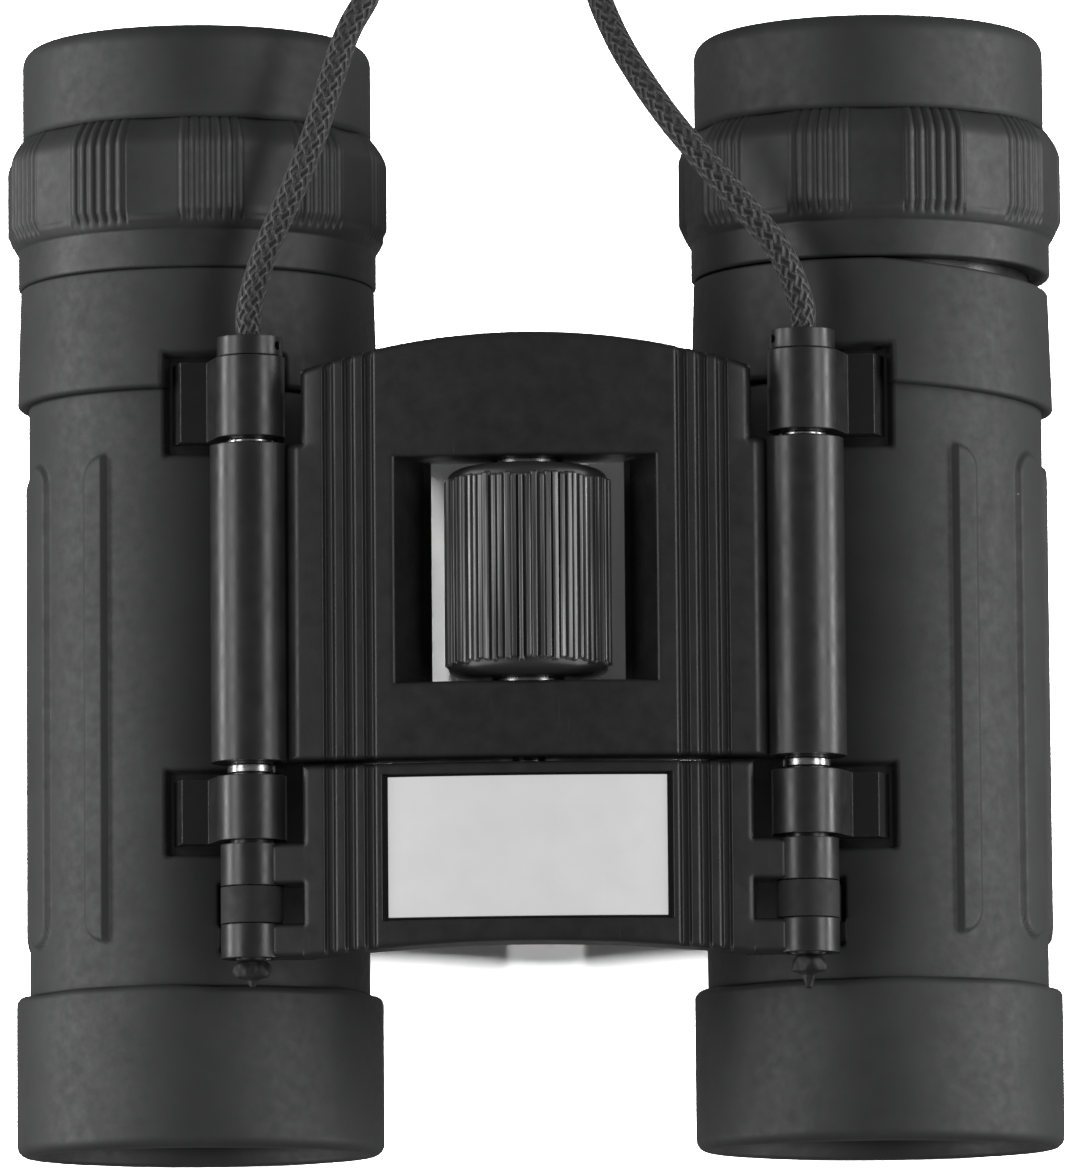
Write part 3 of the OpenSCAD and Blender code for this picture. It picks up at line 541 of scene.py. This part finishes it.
cap_low, cap_high = corners("right_objective_cap")
BARREL = centre("right_objective_cap")
AXIS = {side: (side * BARREL.x, BARREL.z) for side in (-1, 1)}
LEAN = math.degrees(math.atan2(BARREL.x - HINGE_X, HINGE_Z - BARREL.z))
FRONT, CAP_Y = cap_low.y, cap_high.y
CAP_R = (cap_high.x - cap_low.x) / 2
ARMOUR_R = CAP_R - 1.2
HOUSING_R = ARMOUR_R - 1.1
HOUSING_FRONT = corners("right_housing")[0].y
collar_low, collar_high = corners("left_collar")
COLLAR_LOW, COLLAR_TOP = collar_low.y, collar_high.y
COLLAR_R = ARMOUR_R + 1
SKIN_IN = 0.2             # how far a skin reaches into the housing
RIB_W, RIB_H = 4.2, 0.5
RIB_PITCH, RIB_FIRST = 36, 29    # degrees
RIBS = 8
RIB_ENDS = (4.2, 5.8)     # from the cap, and from the collar
LIP_ROUND, LIP_DROP = 0.45, 0.3
TOP_ROUND, COLLAR_TAPER = 0.3, 0.3
LIP_TILT, TOP_TILT = math.radians(4), math.radians(5)
MOUTH_WALL, MOUTH_STEP, MOUTH_ROUND = 1.9, 1.3, 0.5
CAP_FRONT_ROUND, CAP_REAR_ROUND = 1.1, 0.7
CAP_WAVES = (0.08, 0.05)  # unevenness of the caps' rear edges
LUG_HALF = (4.0, 6.3)     # the notch round a lug: towards the other barrel, and away from it
NOTCH_GAP = 0.9
LUG_Y = ((12.2, 19.3), (-23.4, -17.75))
ARM_Y = (-32.75, -26.95)
ARM_HALF = 1.9


def in_notch(angle, radius, y, rows=LUG_Y):
    """How far a point of the armour lies inside the openings for the lugs and the focusing arm."""
    across = radius * math.sin(math.radians(angle + LEAN))
    if abs(angle + LEAN) > 90:
        return 0
    sides = min(across + LUG_HALF[0], LUG_HALF[1] - across)
    best = max(min(sides, y - low + NOTCH_GAP, high + NOTCH_GAP - y) for low, high in rows)
    if rows is LUG_Y:
        best = max(best, min(ARM_HALF - abs(across), y - ARM_Y[0], ARM_Y[1] - y))
    return step(best, 0, 0.25)


def rib_mask(angle, y):
    """1 on a raised grip rib, 0 between ribs."""
    first, last = CAP_Y + RIB_ENDS[0], COLLAR_LOW - RIB_ENDS[1]
    k = round((angle - RIB_FIRST) % 360 / RIB_PITCH)
    if k >= RIBS:
        return 0
    off = (angle - RIB_FIRST - k * RIB_PITCH + 180) % 360 - 180
    across = math.radians(off) * ARMOUR_R
    along = max(first + RIB_W / 2 - y, y - last + RIB_W / 2, 0)
    return step(RIB_W / 2 - math.hypot(across, along), 0, 0.4)


def armour_shape(angle, r, y):
    if r < ARMOUR_R - 0.01:
        return r, y
    r += RIB_H * rib_mask(angle, y)
    return r + (HOUSING_R - 0.1 - r) * in_notch(angle, ARMOUR_R, y), y


def armour(side):
    cuts = 210
    profile = [(ARMOUR_R, CAP_Y + i * (COLLAR_LOW - CAP_Y) / cuts) for i in range(cuts)]
    profile += [(ARMOUR_R, COLLAR_LOW), (HOUSING_R - SKIN_IN, COLLAR_LOW), (HOUSING_R - SKIN_IN, CAP_Y)]
    name = NAMES[side]
    lathe(f"{name}_armour_skin", profile, AXIS[side], f"{name}_barrel", f"{name}_armour", "armour_rubber",
          turns=420, shape=armour_shape, side=side)


def collar(side):
    """The collar tapers to the rear. The right one has slanting edges."""
    lip = COLLAR_LOW - (LIP_DROP if side > 0 else 0)
    start, end, cuts = lip + LIP_ROUND, COLLAR_TOP - TOP_ROUND, 30
    profile = [(HOUSING_R - SKIN_IN, lip), (COLLAR_R - LIP_ROUND, lip)]
    profile += arc(COLLAR_R - LIP_ROUND, start, LIP_ROUND, -90, 0)
    profile += [(COLLAR_R - COLLAR_TAPER * i / cuts, start + (end - start) * i / cuts)
                for i in range(1, cuts)]
    profile += arc(COLLAR_R - COLLAR_TAPER - TOP_ROUND, end, TOP_ROUND, 0, 90, 5)
    profile += [(HOUSING_R - SKIN_IN, COLLAR_TOP)]

    def shape(angle, r, y):
        across = r * math.sin(math.radians(angle))
        if side > 0:
            low = lip - math.tan(LIP_TILT) * across
            top = COLLAR_TOP - math.tan(TOP_TILT) * max(across - 1, 0)
            part = (y - lip) / (COLLAR_TOP - lip)
            y = low + (top - low) * part
        if r > HOUSING_R:
            r += (HOUSING_R - 0.1 - r) * in_notch(angle, ARMOUR_R, y, (LUG_Y[0],))
        return r, y

    name = NAMES[side]
    lathe(f"{name}_collar_skin", profile, AXIS[side], f"{name}_barrel", f"{name}_collar", "collar_rubber",
          turns=420, shape=shape, side=side)


def cap(side):
    mouth, seat = CAP_R - MOUTH_WALL, HOUSING_R - 0.05
    start, end, cuts = FRONT + CAP_FRONT_ROUND, CAP_Y - CAP_REAR_ROUND, 12
    profile = [(seat, HOUSING_FRONT), (mouth - MOUTH_STEP, HOUSING_FRONT)]
    profile += arc(mouth + MOUTH_ROUND, FRONT + MOUTH_ROUND, MOUTH_ROUND, 180, 270)
    profile += arc(CAP_R - CAP_FRONT_ROUND, start, CAP_FRONT_ROUND, -90, 0, 12)
    profile += [(CAP_R, start + (end - start) * i / cuts) for i in range(1, cuts)]
    profile += arc(CAP_R - CAP_REAR_ROUND, end, CAP_REAR_ROUND, 0, 90)
    profile += [(seat, CAP_Y)]
    name = NAMES[side]
    waves = (3, 9) if side > 0 else (5, 11)

    def shape(angle, r, y):
        wave = sum(tall * math.sin(math.radians(angle * n)) for tall, n in zip(CAP_WAVES, waves))
        return r, y + wave * step(y, end, 2 * CAP_REAR_ROUND)

    lathe(f"{name}_cap_skin", profile, AXIS[side], f"{name}_barrel", f"{name}_objective_cap", "cap_rubber",
          turns=256, shape=shape, side=side)


for side in (-1, 1):
    armour(side)
    collar(side)
    cap(side)

# ---- Eyepieces -------------------------------------------------------------------

ring_low, ring_high = corners("left_eyepiece_ring")
REAR = corners("left_eyecup")[1].y
RING_R = (ring_high.x - ring_low.x) / 2
SKIRT_R = ARMOUR_R + 0.9
EYECUP_R = ARMOUR_R + 0.5
EYECUP_LOW = corners("left_eyecup")[0].y
RING_LOW = EYECUP_LOW - 10.2
TUBE_R = 11.5
FIELD = {-1: -8.3, 1: -15.2}      # first knurled field, from the top outwards
FIELD_HALF = 9.8                  # degrees
FIELD_PITCH = 36                  # degrees
RIDGES = 6
RIDGE_DEEP = 0.34
FLAT_DEEP, FLAT_BOW = 0.2, 0.22   # the plain fields between knurled ones
FLARE, SHOULDER = 1.9, 2.6        # lengths of the ring's front slope and rear slope
SHOULDER_IN = 1.4
LEDGE, LEDGE_IN = 2.1, 1.5        # the eyecup's seat in the ring
EYECUP_ROUND, EYECUP_MOUTH_ROUND = 1.7, 0.6


def ring_shape(side):
    low = RING_LOW + 0.5
    rand = random.Random(11 + side)
    heights = {}

    def shape(angle, r, y):
        if r < SKIRT_R - 0.6 or y < low:
            return r, y
        half = FIELD_PITCH / 2
        off = (angle - FIELD[side] + half) % FIELD_PITCH - half
        k = int((angle - FIELD[side] + half) // FIELD_PITCH)
        if abs(off) < FIELD_HALF:
            phase = (off + FIELD_HALF) / (2 * FIELD_HALF) * RIDGES
            height = heights.setdefault((k, int(phase)), rand.uniform(0.85, 1.0))
            tooth = math.sin(math.pi * (phase % 1)) ** 0.7
            depth = RIDGE_DEEP * (1 - height * tooth) * step(y, low + 0.35, 0.6)
        else:
            across = (half - abs(off)) / (half - FIELD_HALF)
            depth = (FLAT_DEEP + FLAT_BOW * (1 - across * across)) * step(y, RING_LOW + 1.35, 0.35)
        return r - depth, y

    return shape


def knurled_ring(side):
    turning = side > 0
    bottom = COLLAR_TOP + (0.15 if turning else 0)
    start, end = RING_LOW + 0.05 + FLARE, EYECUP_LOW - SHOULDER
    bore, inner, seat = HOUSING_R + 0.1, TUBE_R + 0.7, EYECUP_R - LEDGE_IN
    profile = [(bore, bottom), (SKIRT_R - TOP_ROUND, bottom)]
    profile += arc(SKIRT_R - TOP_ROUND, bottom + TOP_ROUND, TOP_ROUND, -90, 0, 4)
    profile += [(SKIRT_R, RING_LOW - 0.1)]
    profile += [(SKIRT_R + (RING_R - SKIRT_R) * i / 8, start - FLARE + FLARE * (i / 8) ** 1.3)
                for i in range(9)]
    profile += [(RING_R, start + (end - start) * i / 16) for i in range(1, 17)]
    profile += [(RING_R - SHOULDER_IN * (i / 8) ** 1.6, end + SHOULDER * i / 8) for i in range(1, 9)]
    profile += [(seat, EYECUP_LOW), (seat, EYECUP_LOW + LEDGE), (inner, EYECUP_LOW + LEDGE),
                (inner, EYECUP_LOW - 4), (bore, EYECUP_LOW - 4)]
    name = NAMES[side]
    body, node = ("right_diopter", "right_diopter_ring") if turning else ("left_barrel", "left_eyepiece_ring")
    lathe(f"{name}_knurled_ring", profile, AXIS[side], body, node, "ring_plastic",
          turns=900, shape=ring_shape(side), side=side)


def eyecup(side):
    bore, seat, end, cuts = TUBE_R + 0.8, EYECUP_R - LEDGE_IN, REAR - EYECUP_ROUND, 10
    profile = [(bore, EYECUP_LOW + LEDGE), (seat, EYECUP_LOW + LEDGE), (seat, EYECUP_LOW)]
    profile += [(EYECUP_R, EYECUP_LOW + (end - EYECUP_LOW) * i / cuts) for i in range(cuts)]
    profile += arc(EYECUP_R - EYECUP_ROUND, end, EYECUP_ROUND, 0, 90, 14)
    profile += arc(EYECUP_R - 2.1, REAR - EYECUP_MOUTH_ROUND, EYECUP_MOUTH_ROUND, 90, 180)
    profile += [(bore, EYECUP_LOW + LEDGE + 2)]
    name = NAMES[side]
    body = "right_diopter" if side > 0 else "left_barrel"
    lathe(f"{name}_eyecup_skin", profile, AXIS[side], body, f"{name}_eyecup", "eyecup_rubber",
          turns=256, side=side)


for side in (-1, 1):
    knurled_ring(side)
    eyecup(side)

# ---- Bridge covers ---------------------------------------------------------------

CROWN_Z = corners("rear_bridge_cover")[1].z
HALF_W = HINGE_X - 4.6
CROWN_RISE = 1.85
CROWN_R = (HALF_W ** 2 + CROWN_RISE ** 2) / (2 * CROWN_RISE)
GROOVES = [HALF_W - inset for inset in (6, 4.25, 2.45)]
GROOVE_DEEP, GROOVE_HALF, GROOVE_EDGE = 0.5, 0.42, 0.34
REAR_ARC = (67, -46.1)                          # radius of the cover's curved end, and its centre's y
FRONT_ARC = (167, -199.7)
SPLIT_ROUND, END_ROUND, WINDOW_ROUND = 0.55, 0.7, 0.4
FRONT_ROUND = 0.5
VALLEY = (0.9, 20.75, 1.5)                      # depth, where its edge lies, and the edge's width
COVER_LOW = CROWN_Z - 4.9
WING_LOW = HINGE_Z + 0.95
WINDOW_X, WINDOW_Y, WINDOW_LOW_X = 11.4, 9.9, 9.1
REAR_SPLIT, FRONT_SPLIT = -16.6, -17.0
REAR_WING = (21.75, 11.5)                       # reach of the rear cover beside the long tubes
FRONT_WING_X = 22.6
FRONT_WINGS = ((-27.4, -23.75), (-33.75, -30.8))
RECESS_X, RECESS_Y, RECESS_D = 12.7, (-30.8, -18.0), 0.6
NEAR = (0, 0.02, 0.07, 0.15, 0.26, 0.4, 0.6)    # distances from an edge where a fillet needs points


def crown(x):
    return CROWN_Z - CROWN_R + math.sqrt(CROWN_R ** 2 - x * x)


def groove_depth(x):
    return GROOVE_DEEP * max(1 - step(abs(abs(x) - g), GROOVE_HALF, GROOVE_EDGE) for g in GROOVES)


def fall(radius, *gaps):
    """How far a rounded surface has fallen this near to its edges."""
    short = sum(max(radius - gap, 0) ** 2 for gap in gaps)
    return radius - math.sqrt(max(radius * radius - short, 0))


def both_sides(values):
    half = sorted({round(v, 4) for v in values})
    return [-v for v in reversed(half) if v] + half


def spread(start, end, longest):
    n = math.ceil(abs(end - start) / longest)
    return [start + (end - start) * i / n for i in range(n + 1)]


def bridge_cover(name, columns, rows, inside, height, body, node):
    """A grid over the outline of a cover, with walls down from every edge."""
    count = len(rows(0))
    points = [Vector((x, y, height(x, y))) for x in columns for y in rows(x)]
    faces, uses = [], {}
    for i in range(len(columns) - 1):
        for j in range(count - 1):
            quad = (i * count + j, (i + 1) * count + j, (i + 1) * count + j + 1, i * count + j + 1)
            mid = sum((points[k] for k in quad), Vector()) / 4
            if inside(mid.x, mid.y):
                faces.append(quad)
                for edge in zip(quad, quad[1:] + quad[:1]):
                    uses[frozenset(edge)] = uses.get(frozenset(edge), ()) + (edge,)
    below = {}
    for edges in list(uses.values()):
        if len(edges) > 1:
            continue
        for k in edges[0]:
            if k not in below:
                x, y, _ = points[k]
                in_window = abs(x) < WINDOW_X + 0.01 and abs(y) < WINDOW_Y + 0.01
                low_x = math.copysign(min(abs(x), WINDOW_LOW_X), x) if in_window else x
                below[k] = len(points)
                points.append(Vector((low_x, y, WING_LOW if abs(x) > HALF_W + 0.01 else COVER_LOW)))
        a, b = edges[0]
        faces.append((b, a, below[a], below[b]))
    add_mesh(name, points, faces, body, node, "bridge_cover")


GROOVE_COLUMNS = [g + 0.05 * k for g in GROOVES for k in range(-13, 14)]


def rear_end(x):
    radius, middle = REAR_ARC
    return middle + math.sqrt(radius ** 2 - x * x)


def rear_rows(x):
    wing_y = REAR_WING[1]
    rows = [REAR_SPLIT + gap for gap in NEAR] + spread(REAR_SPLIT + 1, -WINDOW_Y - 1, 1.5)
    rows += [-WINDOW_Y - gap for gap in NEAR[::-1]] + spread(-WINDOW_Y, WINDOW_Y, 2)[1:-1]
    rows += [WINDOW_Y + gap for gap in NEAR] + [wing_y - gap for gap in NEAR[::-1]]
    end = rear_end(x)
    rows += [wing_y + (end - 1 - wing_y) * i / 5 for i in range(1, 6)]
    return rows + [end - gap for gap in NEAR[::-1]]


def rear_inside(x, y):
    if abs(x) > HALF_W:
        return y < REAR_WING[1]
    return abs(x) > WINDOW_X or abs(y) > WINDOW_Y


def rear_height(x, y):
    across, along = HALF_W - abs(x), REAR_WING[1] - y
    side = across if along < 0 else along if across < 0 else math.hypot(across, along)
    window = math.hypot(max(abs(x) - WINDOW_X, 0), max(abs(y) - WINDOW_Y, 0))
    rear = rear_end(x) - y if across > -0.01 else 9
    valley = VALLEY[0] * step(abs(x), *VALLEY[1:])
    edges = max(fall(SPLIT_ROUND, y - REAR_SPLIT), fall(END_ROUND, side, rear))
    return crown(x) - valley - groove_depth(x) - edges - fall(WINDOW_ROUND, window)


def front_end(x):
    radius, middle = FRONT_ARC
    return middle + math.sqrt(radius ** 2 - x * x) if abs(x) <= HALF_W else FRONT_WINGS[1][0]


def front_rows(x):
    (low_b, low_t), (_, end_t) = FRONT_WINGS
    rows = [FRONT_SPLIT - gap for gap in NEAR] + [RECESS_Y[1] + 0.3 - 0.05 * k for k in range(9)]
    rows += spread(RECESS_Y[1] - 0.3, low_t + 0.7, 1.5)[1:]
    rows += [low_t + gap for gap in NEAR[:0:-1]] + [low_t - gap for gap in NEAR] + [-25.6]
    rows += [low_b + gap for gap in NEAR[::-1]] + [low_b - gap for gap in NEAR[1:]] + [-29]
    rows += [end_t + 0.3 - 0.05 * k for k in range(6)] + [end_t - gap for gap in NEAR]
    end = front_end(x)
    rows += [end_t - 0.6 + (end + 1.6 - end_t) * i / 3 for i in range(1, 4)]
    return rows + [end + gap for gap in NEAR[::-1]]


def front_inside(x, y):
    return abs(x) < HALF_W or any(low < y < high for low, high in FRONT_WINGS)


def front_height(x, y):
    across = HALF_W - abs(x)
    along = max(min(y - low, high - y) if low > -33 else high - y for low, high in FRONT_WINGS)
    side = across if along < 0 else along if across < 0 else math.hypot(across, along)
    inset = min(RECESS_X - abs(x), y - RECESS_Y[0], RECESS_Y[1] - y)
    edges = max(fall(FRONT_ROUND, FRONT_SPLIT - y), fall(FRONT_ROUND, side, y - front_end(x)))
    return crown(x) - groove_depth(x) - edges - RECESS_D * step(inset, 0.02, 0.12)


bridge_cover("rear_cover_shell",
             both_sides(spread(0, WINDOW_X - 0.6, 1.5) + [WINDOW_X + gap for gap in NEAR] + GROOVE_COLUMNS
                        + [HALF_W - gap for gap in NEAR] + [HALF_W + gap for gap in NEAR]
                        + spread(HALF_W + 0.7, REAR_WING[0], 0.15)),
             rear_rows, rear_inside, rear_height, "root", "rear_bridge_cover")
bridge_cover("front_cover_shell",
             both_sides(spread(0, RECESS_X - 0.6, 1.5) + [RECESS_X - 0.2 + 0.05 * k for k in range(9)]
                        + GROOVE_COLUMNS + [HALF_W - gap for gap in NEAR] + [HALF_W + gap for gap in NEAR]
                        + spread(HALF_W + 1, FRONT_WING_X, 0.5)),
             front_rows, front_inside, front_height, "front_bridge", "front_bridge_cover")

# ---- Melted ends of the cord -----------------------------------------------------


def cord_end(side):
    """The cord through a hinge pin, ending in front in a lumpy melted blob with a thin drawn-out tail."""
    blob = corners(f"{NAMES[side]}_hinge_pin")[0].y - 0.15
    tip, tail = (3.1 if side > 0 else 2.5), 1.85
    profile = [(0, CORD_EXIT), (CORD_D / 2, CORD_EXIT), (CORD_D / 2, blob + 0.1), (0.95, blob - 0.1)]
    profile += [(1.0 + 0.5 * math.sin(math.pi * i / 14) ** 0.5, blob - 0.15 - 1.75 * i / 14)
                for i in range(1, 13)]
    profile += [(0.55 - 0.33 * i / 6, blob - tail - (tip - tail) * i / 6) for i in range(7)]
    profile += [(0, blob - tip)]
    turn = 40 if side > 0 else 160

    def shape(angle, r, y):
        if y > blob or not r:
            return r, y
        a = math.radians(angle + turn)
        lump = sum(tall * math.sin(n * a + twist * y)
                   for tall, n, twist in ((0.13, 2, 1.3), (0.06, 5, -2.1), (0.02, 9, 4)))
        return r * (1 + lump * step(blob - y, 0.3, 0.6)), y

    piece = lathe(f"{NAMES[side]}_cord_stop", profile, (side * HINGE_X, HINGE_Z), "root",
                  f"{NAMES[side]}_cord_end", "cord_braid", turns=72, shape=shape, side=side)
    piece.data.materials[0] = materials["melted_cord"]


for side in (-1, 1):
    cord_end(side)

# ---- Hinge washers ----------------------------------------------------------------


def hinge_washers():
    """Small turned steel washers at the ends of the long tubes, domed at their rims."""
    low, high = corners("hinge_washers")
    bore, rim_r, round_r, turns = 1.9, 1.95, 0.15, 72
    points, faces = [], []
    for side in (-1, 1):
        for start, end in ((low.y, low.y + 0.8), (high.y - 0.4, high.y)):
            profile = [(bore, start), (bore + 0.1, start)] + arc(rim_r, start + round_r, round_r, -70, 0, 4)
            profile += arc(rim_r, end - round_r, round_r, 0, 70, 4) + [(bore + 0.1, end), (bore, end)]
            base, n = len(points), len(profile)
            for i in range(turns):
                a = 2 * math.pi * i / turns
                points += [(side * HINGE_X + r * math.sin(a), y, HINGE_Z + r * math.cos(a))
                           for r, y in profile]
                here, after = base + i * n, base + (i + 1) % turns * n
                faces += [(here + j, here + (j + 1) % n, after + (j + 1) % n, after + j) for j in range(n)]
    add_mesh("hinge_washer_rings", points, faces, "root", "hinge_washers", "bright_steel")


hinge_washers()

# ---- Focus wheel -----------------------------------------------------------------

wheel_low, wheel_high = corners("focus_wheel")
wheel_mid = centre("focus_wheel")
WHEEL_R = (wheel_high.x - wheel_low.x) / 2
TEETH = 72
# A tooth's drop, shift and groove, and how much further its rear and front ends reach.
TOOTH_SPREAD = ((0, 0.14), (-0.1, 0.1), (0.26, 0.42), (-0.16, 0.16), (-0.16, 0.16))
WHEEL_ROUND = 2.4


def focus_wheel():
    """Worn, uneven teeth, which stop short of smooth rounded ends."""
    rand = random.Random(4)
    teeth = [[rand.uniform(a, b) for a, b in TOOTH_SPREAD] for _ in range(TEETH)]
    low, high = wheel_low.y, wheel_high.y
    end = (high - low) / 2 - 1.25

    def shape(angle, r, y):
        if r < WHEEL_R - 2.6:
            return r, y
        phase = (angle % 360) / 360 * TEETH
        k = int(phase) % TEETH
        drop, shift, width, top, bottom = teeth[k]
        groove = step(abs(phase - int(phase) - 0.5 + shift), width, 0.16)
        off = y - wheel_mid.y
        stop = end + (top if off > 0 else bottom)
        ridged = 1 - step(abs(off), stop, 0.12)
        return r - 0.4 * (1 - ridged) - ridged * ((0.3 + 0.12 * (k % 2)) * groove + drop * (1 - groove)), y

    profile = [(1.5, low), (WHEEL_R - WHEEL_ROUND, low)]
    for i in range(1, 10):
        a = math.pi * i / 20
        profile.append((WHEEL_R - WHEEL_ROUND + WHEEL_ROUND * math.sin(a), low + 1 - math.cos(a)))
    profile += [(WHEEL_R, low + 1 + 0.08 * i) for i in range(9)]
    profile += [(WHEEL_R, y) for y in spread(low + 2, high - 2, 1)]
    profile += [(r, low + high - y) for r, y in profile[::-1] if y < low + 1.9]
    lathe("focus_wheel_knurl", profile, (wheel_mid.x, wheel_mid.z), "focus", "focus_wheel", "wheel_metal",
          turns=TEETH * 12, shape=shape)


focus_wheel()

# ---- Floor and light ---------------------------------------------------------------

floor_mesh = bpy.data.meshes.new("floor")
FLOOR_HALF = 3            # metres
floor_mesh.from_pydata([(x * FLOOR_HALF, y * FLOOR_HALF, 0) for x, y in ((-1, -1), (1, -1), (1, 1), (-1, 1))],
                       [], [(0, 1, 2, 3)])
floor = bpy.data.objects.new("floor", floor_mesh)
scene.collection.objects.link(floor)
pale = Shader("pale_floor", (0.92, 0.92, 0.92), 0.7, specular=0.2)
pale.color(pale.blend(pale.remap(pale.noise(60, 3), 0.3, 0.7), (0.91, 0.91, 0.91), (0.93, 0.93, 0.93)))
floor_mesh.materials.append(pale.done())
floor.visible_diffuse = False
floor.visible_glossy = False

world = bpy.data.worlds.new("studio")
world.use_nodes = True
world.node_tree.nodes["Background"].inputs[0].default_value = (1, 1, 1, 1)
world.node_tree.nodes["Background"].inputs[1].default_value = 0.19
scene.world = world
scene.view_settings.view_transform = "Standard"


def softbox(name, at, size, watts, only):
    """A rectangle of soft light that faces the object; it may light only one thing."""
    lamp = bpy.data.lights.new(name, "AREA")
    lamp.shape = "RECTANGLE"
    lamp.size, lamp.size_y = size
    lamp.energy = watts
    lamp_object = bpy.data.objects.new(name, lamp)
    lamp_object.location = at
    lamp_object.rotation_euler = (Vector((0, 0, 0.02)) - Vector(at)).to_track_quat("-Z", "Y").to_euler()
    scene.collection.objects.link(lamp_object)
    if only:
        lit = bpy.data.collections.new(name + "_lit")
        lit.objects.link(only)
        lamp_object.light_linking.receiver_collection = lit


# A pair of lamps: distance out and height in metres, size in metres, watts, and what alone it lights.
LAMPS = {
    "low_softbox": (0.75, 0.07, (0.9, 0.12), 4.9, None),
    "high_softbox": (0.72, 0.58, (0.9, 0.3), 4.0, None),
    "floor_wash": (0.78, 1.3, (0.25, 0.25), 160, floor),
}
for kind, (out, height, size, watts, only) in LAMPS.items():
    for side, name in NAMES.items():
        softbox(f"{kind}_{name}", (side * out, 0, height), size, watts, only)
